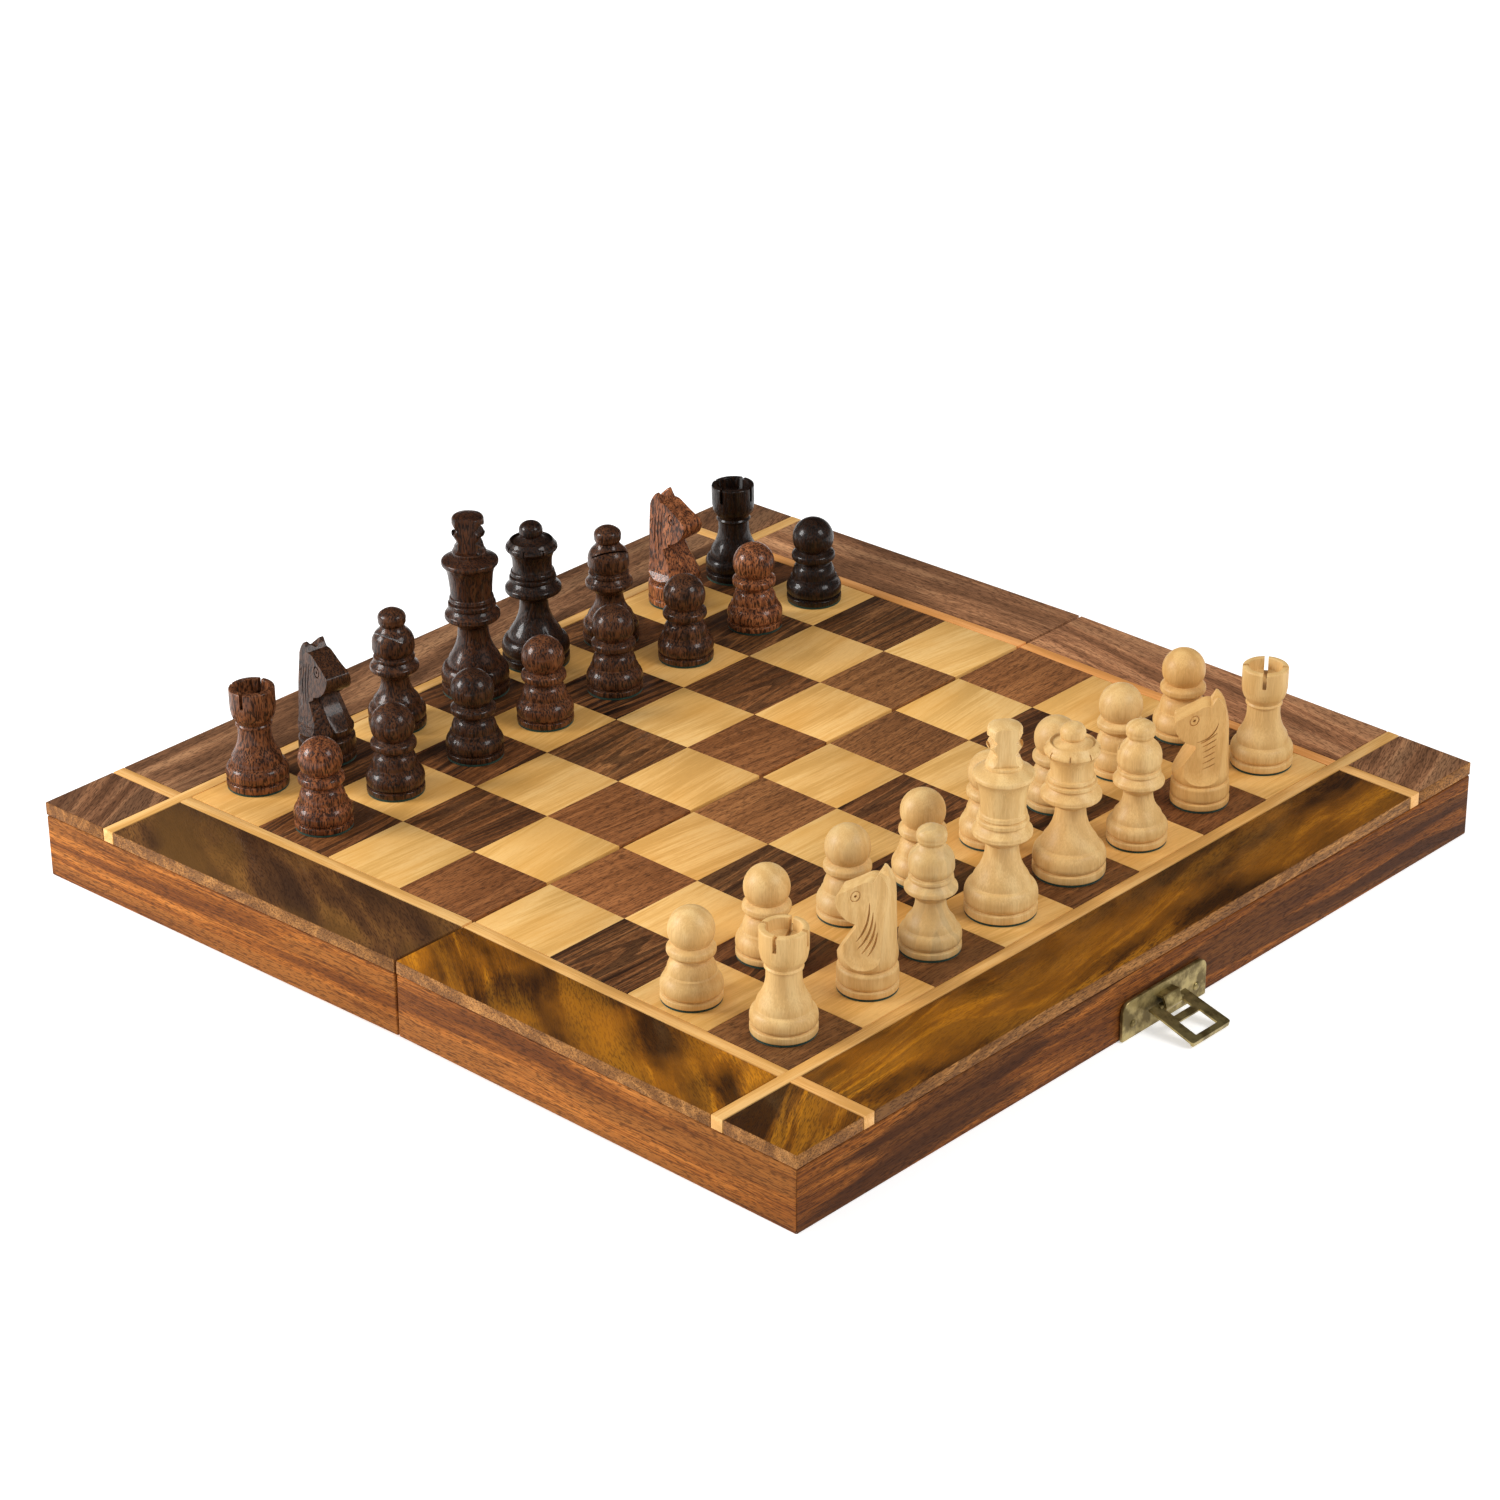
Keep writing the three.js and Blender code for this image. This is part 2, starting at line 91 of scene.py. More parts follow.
def halfPlace(side):
    turn = Matrix.Rotation(-side * halfTilt, 4, "X")
    return Matrix.Translation(foldLine) @ turn @ Matrix.Scale(mm, 4)


class Signal:
    # one output socket, so that shader maths can be written as sums and products
    def __init__(self, recipe, socket):
        self.recipe = recipe
        self.socket = socket

    def maths(self, operation, first, second=0.0, clamp=False):
        settings = {"operation": operation, "use_clamp": clamp}
        return self.recipe.node("ShaderNodeMath", settings, {0: first, 1: second})

    def __add__(self, other):
        return self.maths("ADD", self, other)

    def __sub__(self, other):
        return self.maths("SUBTRACT", self, other)

    def __rsub__(self, other):
        return self.maths("SUBTRACT", other, self)

    def __mul__(self, other):
        return self.maths("MULTIPLY", self, other)

    def __pow__(self, other):
        return self.maths("POWER", self, other)

    def sine(self):
        return self.maths("SINE", self)

    __radd__ = __add__
    __rmul__ = __mul__

    def clamped(self):
        return self.maths("ADD", self, 0.0, clamp=True)


class Recipe:
    # a material being mixed
    def __init__(self, name):
        self.material = bpy.data.materials.new(name)
        self.material.use_nodes = True
        self.tree = self.material.node_tree
        self.tree.nodes.clear()

    def node(self, kind, settings=None, sockets=None, out=0):
        made = self.tree.nodes.new(kind)
        for key, value in (settings or {}).items():
            if key == "stops":
                self.setStops(made.color_ramp, value)
            else:
                setattr(made, key, value)
        for key, value in (sockets or {}).items():
            if isinstance(value, Signal):
                self.tree.links.new(value.socket, made.inputs[key])
            else:
                made.inputs[key].default_value = value
        return Signal(self, made.outputs[out])

    def setStops(self, ramp, stops):
        while len(ramp.elements) < len(stops):
            ramp.elements.new(1.0)
        for element, (position, colour) in zip(ramp.elements, stops):
            element.position = position
            element.color = (*colour, 1.0)

    def attribute(self, name):
        return self.node("ShaderNodeAttribute", {"attribute_name": name}, out="Vector")

    def split(self, vector):
        first = self.node("ShaderNodeSeparateXYZ", None, {0: vector})
        outputs = first.socket.node.outputs
        return [Signal(self, outputs[index]) for index in range(3)]

    def join(self, x, y, z):
        return self.node("ShaderNodeCombineXYZ", None, {0: x, 1: y, 2: z})

    def vectorMaths(self, operation, first, second):
        return self.node("ShaderNodeVectorMath", {"operation": operation}, {0: first, 1: second})

    def scaled(self, vector, factor):
        return self.node("ShaderNodeVectorMath", {"operation": "SCALE"}, {0: vector, "Scale": factor})

    def noise(self, vector, scale, detail=2.0, roughness=0.5, distortion=0.0):
        stretched = self.vectorMaths("MULTIPLY", vector, scale)
        sockets = {"Vector": stretched, "Scale": 1.0, "Detail": detail, "Roughness": roughness,
                   "Distortion": distortion}
        return self.node("ShaderNodeTexNoise", None, sockets, out="Fac")

    def step(self, value, low, high):
        sockets = {"Value": value, "From Min": low, "From Max": high}
        return self.node("ShaderNodeMapRange", {"interpolation_type": "SMOOTHSTEP"}, sockets)

    def ramp(self, value, stops):
        return self.node("ShaderNodeValToRGB", {"stops": stops}, {"Fac": value}, out="Color")

    def mix(self, factor, first, second, blend="MIX"):
        colours = [c if isinstance(c, Signal) else (*c, 1.0) for c in (first, second)]
        settings = {"data_type": "RGBA", "blend_type": blend}
        return self.node("ShaderNodeMix", settings, {0: factor, 6: colours[0], 7: colours[1]}, out=2)

    def bump(self, height, strength, distance):
        sockets = {"Height": height, "Strength": strength, "Distance": distance}
        return self.node("ShaderNodeBump", None, sockets)

    def surface(self, sockets):
        shader = self.node("ShaderNodeBsdfPrincipled", None, sockets)
        output = self.tree.nodes.new("ShaderNodeOutputMaterial")
        self.tree.links.new(shader.socket, output.inputs["Surface"])
        return self.material


# Two attributes steer every piece of wood: "grain" is the place in the plank that it was cut
# from, in metres with X along the fibres, and "wood" is (tone, streaks, warmth).
def woodMaterial(name, look):
    r = Recipe(name)
    grain = r.attribute("grain")
    tone, streaks, warmth = r.split(r.attribute("wood"))
    sway = r.noise(grain, (9.0, 30.0, 30.0), 2.0)
    shift = r.join(0.0, (sway - 0.5) * look["sway"], (sway - 0.5) * look["sway"])
    fibre = r.vectorMaths("ADD", grain, shift)
    along, across = look["bands"]
    bands = r.noise(fibre, (along, across, across), 4.0, 0.6, 0.2)
    hairs = r.noise(fibre, (along * look["hairLength"], across * 10, across * 10), 3.0, 0.65)
    # growth rings are the level lines of a field that is drawn out along the fibres
    field = r.noise(fibre, (along * 0.5, across * 0.16, across * 0.16), 1.0, 0.4, 0.1)
    rings = (field * look["rings"]).sine() * 0.5 + 0.5
    pores = r.noise(fibre, look["pores"], 2.0, 0.5)
    clouds = r.noise(grain, (24.0, 46.0, 46.0), 3.0, 0.5)
    share = look["hairShare"]
    figure = bands * (0.82 - share) + hairs * share + clouds * 0.08 + rings * 0.1
    calm = streaks * (1.0 - look["calm"]) + look["calm"]
    colour = r.ramp((r.step(figure, 0.4, 0.61) - 0.5) * calm + 0.5, look["stops"])
    patchy = r.noise(fibre, (along * 0.7, across * 0.35, across * 0.35), 3.0, 0.55, 0.4)
    lines = r.step(rings * 0.5 + bands * 0.5 + (patchy - 0.5) * 1.1, *look["lineRange"])
    threads = r.step(hairs, 0.54, 0.66)
    darkLine = lines * 0.8 + r.step(patchy, 0.55, 0.68) * 0.45 + threads * look["threads"]
    darkLine = darkLine.clamped() * streaks
    colour = r.mix(darkLine.clamped(), colour, look["streakColour"])
    poreMask = r.step(pores, *look["poreRange"]) * look["poreDepth"]
    colour = r.mix(poreMask.clamped(), colour, look["poreColour"])
    colour = r.mix((r.step(clouds, 0.42, 0.66) * look["cloudDepth"]).clamped(), colour, look["cloudColour"])
    tint = r.mix(warmth, (1.0, 1.0, 1.0), look["warmTint"])
    colour = r.scaled(r.mix(1.0, colour, tint, "MULTIPLY"), tone ** look["toneShare"])
    roughness = look["roughness"] + (hairs - 0.5) * 0.16 + poreMask * 0.12
    height = (1.0 - poreMask) * 0.7 + hairs * 0.3
    return r.surface({
        "Base Color": colour,
        "Roughness": roughness,
        "Coat Weight": look["coat"],
        "Coat Roughness": look["coatRoughness"],
        "Specular IOR Level": look["specular"],
        "Normal": r.bump(height, look["bump"], 0.0002),
    })


def lookOf(base, **changes):
    return {**base, **changes}


plainWood = {
    "sway": 0.004,
    "bands": (11.0, 170.0),
    "hairLength": 5.0,
    "hairShare": 0.4,
    "threads": 0.5,
    "calm": 1.0,
    "rings": 60.0,
    "pores": (380.0, 3000.0, 3000.0),
    "poreRange": (0.49, 0.62),
    "poreDepth": 0.6,
    "lineRange": (0.56, 0.72),
    "toneShare": 1.0,
    "poreColour": (0.03, 0.01, 0.003),
    "streakColour": (0.014, 0.006, 0.004),
    "cloudDepth": 0.0,
    "cloudColour": (0.1, 0.05, 0.02),
    "warmTint": (1.25, 0.8, 0.62),
    "roughness": 0.5,
    "coat": 0.0,
    "coatRoughness": 0.2,
    "specular": 0.3,
    "bump": 0.3,
    "stops": [(0.0, (0.1, 0.045, 0.02)), (0.5, (0.17, 0.08, 0.036)), (1.0, (0.27, 0.135, 0.06))],
}
darkSquareWood = woodMaterial("darkSquareWood", lookOf(
    plainWood,
    bands=(7.0, 380.0),
    hairLength=3.0,
    rings=105.0,
    calm=0.45,
    lineRange=(0.46, 0.58),
    coat=0.15,
    specular=0.2,
    streakColour=(0.012, 0.005, 0.003),
    stops=[(0.0, (0.13, 0.047, 0.012)), (0.5, (0.275, 0.11, 0.034)), (1.0, (0.44, 0.19, 0.06))],
))
lightSquareWood = woodMaterial("lightSquareWood", lookOf(
    plainWood,
    bands=(9.0, 120.0),
    poreDepth=0.16,
    poreColour=(0.5, 0.25, 0.06),
    streakColour=(0.6, 0.27, 0.04),
    cloudDepth=0.5,
    cloudColour=(0.72, 0.36, 0.07),
    warmTint=(1.08, 0.82, 0.5),
    coat=0.2,
    bump=0.12,
    stops=[(0.0, (0.66, 0.37, 0.1)), (0.5, (0.79, 0.47, 0.15)), (1.0, (0.87, 0.56, 0.21))],
))
plankWood = woodMaterial("plankWood", lookOf(
    plainWood,
    sway=0.02,
    bands=(7.0, 75.0),
    hairLength=4.0,
    hairShare=0.16,
    threads=0.22,
    rings=75.0,
    coat=0.2,
    coatRoughness=0.14,
    specular=0.2,
    lineRange=(0.48, 0.6),
    cloudDepth=0.45,
    cloudColour=(0.44, 0.15, 0.003),
    poreColour=(0.02, 0.006, 0.001),
    streakColour=(0.03, 0.01, 0.002),
    stops=[(0.0, (0.045, 0.013, 0.0)), (0.5, (0.18, 0.056, 0.0)), (1.0, (0.6, 0.23, 0.004))],
))
mattPlankWood = woodMaterial("mattPlankWood", lookOf(
    plainWood,
    sway=0.014,
    bands=(6.0, 110.0),
    hairLength=4.0,
    hairShare=0.28,
    threads=0.35,
    roughness=0.6,
    specular=0.2,
    streakColour=(0.05, 0.02, 0.01),
    stops=[(0.0, (0.14, 0.06, 0.025)), (0.5, (0.27, 0.12, 0.052)), (1.0, (0.44, 0.22, 0.1))],
))
darkPlankWood = woodMaterial("darkPlankWood", lookOf(
    plainWood,
    sway=0.02,
    bands=(9.0, 60.0),
    hairLength=4.0,
    hairShare=0.12,
    threads=0.15,
    coat=0.25,
    coatRoughness=0.16,
    specular=0.2,
    cloudDepth=0.6,
    cloudColour=(0.17, 0.075, 0.012),
    streakColour=(0.03, 0.012, 0.006),
    stops=[(0.0, (0.06, 0.025, 0.01)), (0.5, (0.13, 0.052, 0.015)), (1.0, (0.27, 0.115, 0.024))],
))
edgeWood = woodMaterial("edgeWood", lookOf(
    plainWood,
    sway=0.008,
    bands=(10.0, 210.0),
    roughness=0.62,
    toneShare=0.25,
    specular=0.2,
    streakColour=(0.1, 0.036, 0.009),
    stops=[(0.0, (0.17, 0.066, 0.014)), (0.5, (0.33, 0.138, 0.032)), (1.0, (0.52, 0.24, 0.066))],
))
railWood = woodMaterial("railWood", lookOf(
    plainWood,
    sway=0.008,
    bands=(4.0, 220.0),
    hairLength=2.5,
    hairShare=0.46,
    threads=1.1,
    rings=40.0,
    lineRange=(0.5, 0.66),
    roughness=0.62,
    specular=0.14,
    streakColour=(0.05, 0.014, 0.002),
    stops=[(0.0, (0.12, 0.034, 0.004)), (0.5, (0.285, 0.09, 0.011)), (1.0, (0.53, 0.195, 0.034))],
))
inlayWood = woodMaterial("inlayWood", lookOf(
    plainWood,
    bands=(10.0, 260.0),
    poreDepth=0.12,
    poreColour=(0.45, 0.22, 0.05),
    streakColour=(0.6, 0.28, 0.06),
    warmTint=(1.15, 0.72, 0.6),
    coat=0.15,
    bump=0.12,
    stops=[(0.0, (0.62, 0.32, 0.08)), (0.5, (0.74, 0.4, 0.12)), (1.0, (0.83, 0.5, 0.18))],
))
paleManWood = woodMaterial("paleManWood", lookOf(
    plainWood,
    sway=0.003,
    bands=(26.0, 300.0),
    pores=(260.0, 2400.0, 2400.0),
    poreDepth=0.16,
    poreColour=(0.42, 0.23, 0.07),
    streakColour=(0.3, 0.2, 0.1),
    cloudDepth=0.2,
    cloudColour=(0.66, 0.4, 0.13),
    warmTint=(1.0, 0.86, 0.68),
    coat=0.08,
    coatRoughness=0.3,
    bump=0.2,
    stops=[(0.0, (0.66, 0.42, 0.16)), (0.5, (0.72, 0.48, 0.2)), (1.0, (0.77, 0.54, 0.24))],
))
darkManWood = woodMaterial("darkManWood", lookOf(
    plainWood,
    sway=0.003,
    bands=(40.0, 500.0),
    pores=(420.0, 2200.0, 2200.0),
    hairLength=6.0,
    poreRange=(0.47, 0.58),
    poreDepth=0.85,
    poreColour=(0.008, 0.003, 0.001),
    warmTint=(1.3, 0.88, 0.62),
    roughness=0.36,
    coat=0.28,
    coatRoughness=0.1,
    specular=0.22,
    bump=0.7,
    stops=[(0.0, (0.095, 0.035, 0.013)), (0.5, (0.15, 0.058, 0.022)), (1.0, (0.24, 0.1, 0.04))],
))


def brassMaterial():
    r = Recipe("agedBrass")
    place = r.node("ShaderNodeTexCoord", out="Object")
    tarnish = r.noise(place, (170.0, 170.0, 170.0), 4.0, 0.6)
    brushed = r.noise(place, (300.0, 2500.0, 2500.0), 2.0)
    patches = r.step(tarnish, 0.38, 0.62)
    colour = r.mix(patches, (0.46, 0.36, 0.15), (0.16, 0.115, 0.04))
    return r.surface({
        "Base Color": colour,
        "Metallic": 0.82,
        "Roughness": 0.3 + patches * 0.14 + brushed * 0.1,
        "Normal": r.bump(brushed, 0.12, 0.0001),
    })


def feltMaterial(name, colours, fuzz):
    r = Recipe(name)
    place = r.node("ShaderNodeTexCoord", out="Object")
    clumps = r.noise(place, (900.0, 900.0, 900.0), 4.0, 0.7)
    fibres = r.noise(place, (3800.0, 3800.0, 3800.0), 2.0, 0.6)
    colour = r.mix(r.step(clumps * 0.6 + fibres * 0.4, 0.35, 0.65), *colours)
    return r.surface({
        "Base Color": colour,
        "Roughness": 0.95,
        "Sheen Weight": fuzz,
        "Normal": r.bump(clumps * 0.5 + fibres * 0.5, 0.7, 0.0004),
    })


agedBrass = brassMaterial()
greenFelt = feltMaterial("greenFelt", [(0.004, 0.022, 0.013), (0.012, 0.055, 0.032)], 0.2)
print("materials mixed")


def newShape():
    bm = bmesh.new()
    bm.verts.layers.float_vector.new("grain")
    bm.verts.layers.float_vector.new("wood")
    return bm


# How a plank's fibres lie: each turns the fibres onto X.
fibresAlong = {
    "x": Matrix.Identity(3),
    "y": Matrix.Rotation(-math.pi / 2, 3, "Z"),
    "z": Matrix(((0, 0, 1), (1, 0, 0), (0, 1, 0))),
}


def cutFrom(bm, verts, fibres, start, wood):
    # says where in its plank a piece was cut, and what that plank was like
    grainLayer = bm.verts.layers.float_vector["grain"]
    woodLayer = bm.verts.layers.float_vector["wood"]
    for vert in verts:
        vert[grainLayer] = (fibres @ vert.co + start) * mm
        vert[woodLayer] = wood


def anyStart(rng):
    return Vector([rng.uniform(-4000, 4000) for axis in range(3)])


def addSlab(bm, xSpan, ySpan, zSpan, soft, segments=2):
    old = set(bm.verts)
    spans = [sorted(span) for span in (xSpan, ySpan, zSpan)]
    middle = Vector([(low + high) / 2 for low, high in spans])
    size = [high - low for low, high in spans]
    place = Matrix.Translation(middle) @ Matrix.Diagonal((*size, 1.0))
    made = bmesh.ops.create_cube(bm, size=1.0, matrix=place)["verts"]
    edges = list({edge for vert in made for edge in vert.link_edges})
    if soft:
        bmesh.ops.bevel(bm, geom=edges, offset=soft, offset_type="OFFSET", segments=segments,
                        profile=0.5, affect="EDGES", material=-1)
    return [vert for vert in bm.verts if vert not in old]


def bow(start, end, bulge, finest=math.radians(11)):
    # the points of an arc after start, up to end; bulge is its rise over half its chord
    if not bulge:
        return [end]
    half = (end - start).length / 2
    rise = bulge * half
    radius = (half * half + rise * rise) / (2 * rise)
    way = (end - start).normalized()
    side = Vector((way.y, -way.x))
    centre = (start + end) / 2 + side * (rise - radius)
    angle = 4 * math.atan(bulge)
    steps = max(2, math.ceil(abs(angle) / finest))
    spoke = start - centre
    return [centre + Matrix.Rotation(angle * k / steps, 2) @ spoke for k in range(1, steps + 1)]


def traced(points):
    # (a, b) is a corner and (a, b, bulge) ends a round stretch
    path = [Vector(points[0][:2])]
    for point in points[1:]:
        path += bow(path[-1], Vector(point[:2]), point[2] if len(point) > 2 else 0)
    return path


def turned(points, steps=56):
    # a profile of radius and height, spun all the way round
    bm = newShape()
    path = traced(points)
    verts = [bm.verts.new((p.x, 0, p.y)) for p in path]
    edges = [bm.edges.new(pair) for pair in zip(verts, verts[1:])]
    bmesh.ops.spin(bm, geom=verts + edges, cent=(0, 0, 0), axis=(0, 0, 1), dvec=(0, 0, 0),
                   angle=math.tau, steps=steps, use_merge=True, use_duplicate=False)
    bmesh.ops.remove_doubles(bm, verts=bm.verts, dist=1e-4)
    bmesh.ops.recalc_face_normals(bm, faces=bm.faces)
    return bm


def prism(points, low, high):
    # a closed outline in the YZ plane, drawn out along X
    bm = newShape()
    path = traced(points + [points[0][:2]])
    while (path[-1] - path[0]).length < 1e-6:
        path.pop()
    verts = [bm.verts.new((low, p.x, p.y)) for p in path]
    face = bm.faces.new(verts)
    drawn = bmesh.ops.extrude_face_region(bm, geom=[face])["geom"]
    bmesh.ops.translate(bm, verts=[item for item in drawn if isinstance(item, bmesh.types.BMVert)],
                        vec=(high - low, 0, 0))
    bmesh.ops.recalc_face_normals(bm, faces=bm.faces)
    return bm


def moved(bm, matrix):
    bmesh.ops.transform(bm, matrix=matrix, verts=bm.verts)
    return bm


def block(xSpan, ySpan, zSpan, matrix=None):
    bm = newShape()
    addSlab(bm, xSpan, ySpan, zSpan, 0)
    return moved(bm, matrix) if matrix else bm


def looseObject(bm, name):
    mesh = bpy.data.meshes.new(name)
    bm.to_mesh(mesh)
    bm.free()
    made = bpy.data.objects.new(name, mesh)
    bpy.context.scene.collection.objects.link(made)
    return made


def carved(bm, cutters, way="DIFFERENCE"):
    # cuts, joins or crosses a shape with others and gives the new shape back
    body = looseObject(bm, "carving")
    tools = [looseObject(cutter, "tool") for cutter in cutters]
    for tool in tools:
        cut = body.modifiers.new("cut", "BOOLEAN")
        cut.operation = way
        cut.solver = "EXACT"
        cut.object = tool
    result = bmesh.new()
    bpy.context.view_layer.update()
    result.from_object(body, bpy.context.evaluated_depsgraph_get())
    for used in [body, *tools]:
        bpy.data.objects.remove(used)
    bmesh.ops.remove_doubles(result, verts=result.verts, dist=1e-4)
    return result


def addShape(bm, extra):
    mesh = bpy.data.meshes.new("extra")
    extra.to_mesh(mesh)
    extra.free()
    bm.from_mesh(mesh)
    bpy.data.meshes.remove(mesh)


def placed(bm, name, place, body, materials, nodes=(), smoothBelow=38):
    # the finished piece: in metres, in its place, riding on its body
    moved(bm, place)
    limit = math.radians(smoothBelow)
    for face in bm.faces:
        face.smooth = True
    for edge in bm.edges:
        if edge.is_manifold and edge.calc_face_angle() > limit:
            edge.smooth = False
    piece = looseObject(bm, name)
    for material in materials:
        piece.data.materials.append(material)
    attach(piece, body)
    if nodes:
        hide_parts(*nodes)
    return piece


def eased(piece, width, segments=2, angle=35):
    # a Bevel modifier that breaks the sharp edges, in millimetres
    bevel = piece.modifiers.new("eased", "BEVEL")
    bevel.width = width * mm
    bevel.segments = segments
    bevel.limit_method = "ANGLE"
    bevel.angle_limit = math.radians(angle)
    bevel.use_clamp_overlap = True
    return piece


def across(side, near, far):
    return (side * near, side * far)


halves = [("near", -1, "front"), ("far", 1, "back")]
inner = board["seamGap"] / 2
gap = board["glueGap"]
topSpan = (topLow, topHigh)


def edgeFaces(bm):
    # gives the faces on the board's outer edges the second material
    rim = halfLength - board["edgeDepth"]
    for face in bm.faces:
        centre = face.calc_center_median()
        if abs(centre.x) > rim or abs(centre.y) > rim:
            face.material_index = 1


# tone and streaks of the dark squares in each row, counted from the near edge
rowLooks = {1: (0.72, 0.3), 2: (0.66, 1.0), 3: (0.86, 0.9), 4: (0.98, 0.05),
            5: (0.94, 0.12), 6: (1.02, 0.9), 7: (0.84, 1.0), 8: (0.8, 0.9)}


def makeSquares(half, side, rng):
    place = halfPlace(side)
    for shade, material, slot in (("light", lightSquareWood, "light_square_wood"),
                                  ("dark", darkSquareWood, "dark_square_wood")):
        bm = newShape()
        for row in range(4):
            for file in range(8):
                number = row + 4 if side > 0 else 3 - row
                isDark = (file + number) % 2 == 0
                if isDark != (shade == "dark"):
                    continue
                hair = board["veneerGap"] / 2
                left = (file - 4) * board["square"]
                out = row * board["square"]
                nearEdge = max(inner + board["seamWear"], out + hair)
                farEdge = out + board["square"] - (gap if row == 3 else hair)
                low = left + (gap if file == 0 else hair)
                high = left + board["square"] - (gap if file == 7 else hair)
                drop = rng.uniform(0, board["unevenness"])
                verts = addSlab(bm, (low, high), across(side, nearEdge, farEdge),
                                (topLow, topHigh - drop), board["squareEdge"])
                if shade == "dark":
                    tone, streaks = rowLooks[number + 1]
                    tone *= rng.uniform(0.9, 1.1)
                    streaks *= rng.uniform(0.85, 1.0)
                else:
                    tone = rng.uniform(0.93, 1.05)
                    streaks = rng.uniform(0.0, 0.3)
                wood = (tone, streaks, rng.uniform(0.0, 0.3))
                lean = Matrix.Rotation(rng.uniform(-0.12, 0.12), 3, "Z")
                cutFrom(bm, verts, lean, anyStart(rng), wood)
        placed(bm, f"{half}_{shade}_squares", place, f"{half}_half", [material],
               [f"{half}_field"])


def makeInlay(half, side, rng):
    bm = newShape()
    join = board["stripJoint"]
    strips = [("x", (-halfLength, halfLength), across(side, stripIn, stripOut), 0.0)]
    for hand in (-1, 1):
        reach = (hand * stripIn, hand * stripOut)
        strips.append(("y", reach, across(side, inner, stripIn - join), 0.5 if hand > 0 else 0.0))
        strips.append(("y", reach, across(side, stripOut + join, halfLength), 0.1))
    for fibres, xSpan, ySpan, warmth in strips:
        verts = addSlab(bm, xSpan, ySpan, topSpan, board["stripEdge"])
        start = anyStart(rng)
        cutFrom(bm, verts, fibresAlong[fibres], start, (rng.uniform(0.95, 1.05), 0.1, warmth))
    placed(bm, f"{half}_inlay_strips", halfPlace(side), f"{half}_half", [inlayWood],
           [f"{half}_inlay"])


# Each plank of the border: degrees from the X axis to its fibres, (tone, streaks, warmth), material.
plankLooks = {
    ("near", "front"): [9, (0.86, 0.75, 0.0), plankWood],
    ("near", "left"): [55, (1.15, 0.75, 0.0), plankWood],
    ("near", "right"): [84, (1.4, 0.35, 0.1), mattPlankWood],
    ("near", "left corner"): [28, (1.0, 0.55, 0.0), plankWood],
    ("near", "right corner"): [25, (1.2, 0.6, 0.0), mattPlankWood],
    ("far", "back"): [3, (0.95, 0.4, 0.0), mattPlankWood],
    ("far", "left"): [60, (0.95, 0.75, 0.0), darkPlankWood],
    ("far", "right"): [88, (1.5, 0.4, 0.0), mattPlankWood],
    ("far", "left corner"): [30, (0.85, 0.7, 0.1), mattPlankWood],
    ("far", "right corner"): [20, (0.9, 0.5, 0.0), mattPlankWood],
}


def makePlank(half, side, place, xSpan, ySpan, name, node, rng):
    lean, wood, material = plankLooks[half, place]
    bm = newShape()
    verts = addSlab(bm, xSpan, ySpan, topSpan, board["softEdge"])
    cutFrom(bm, verts, Matrix.Rotation(-math.radians(lean), 3, "Z"), anyStart(rng), wood)
    edgeFaces(bm)
    body = f"{half}_half"
    placed(bm, f"{half}_{name}", halfPlace(side), body, [material, edgeWood],
           [f"{half}_{node}"])


def makePlanks(half, side, edge, rng):
    out = stripOut + gap
    inn = stripIn - gap
    outerY = across(side, out, halfLength)
    makePlank(half, side, edge, (-inn, inn), outerY, f"{edge}_border", f"{edge}_plank", rng)
    for hand, sign in (("left", -1), ("right", 1)):
        reach = (sign * out, sign * halfLength)
        sideY = across(side, inner, inn)
        makePlank(half, side, hand, reach, sideY, f"{hand}_border", f"{hand}_plank", rng)
        makePlank(half, side, hand + " corner", reach, outerY, f"{hand}_corner_block", "outer_rail", rng)


# (tone, streaks, warmth) of the walls: the side walls go by their half
wallLooks = {
    "outer": (0.95, 0.95, 0.1),
    "near": (1.06, 0.6, 0.1),
    "far": (1.16, 0.6, 0.1),
    "seam": (0.9, 0.35, 0.3),
}


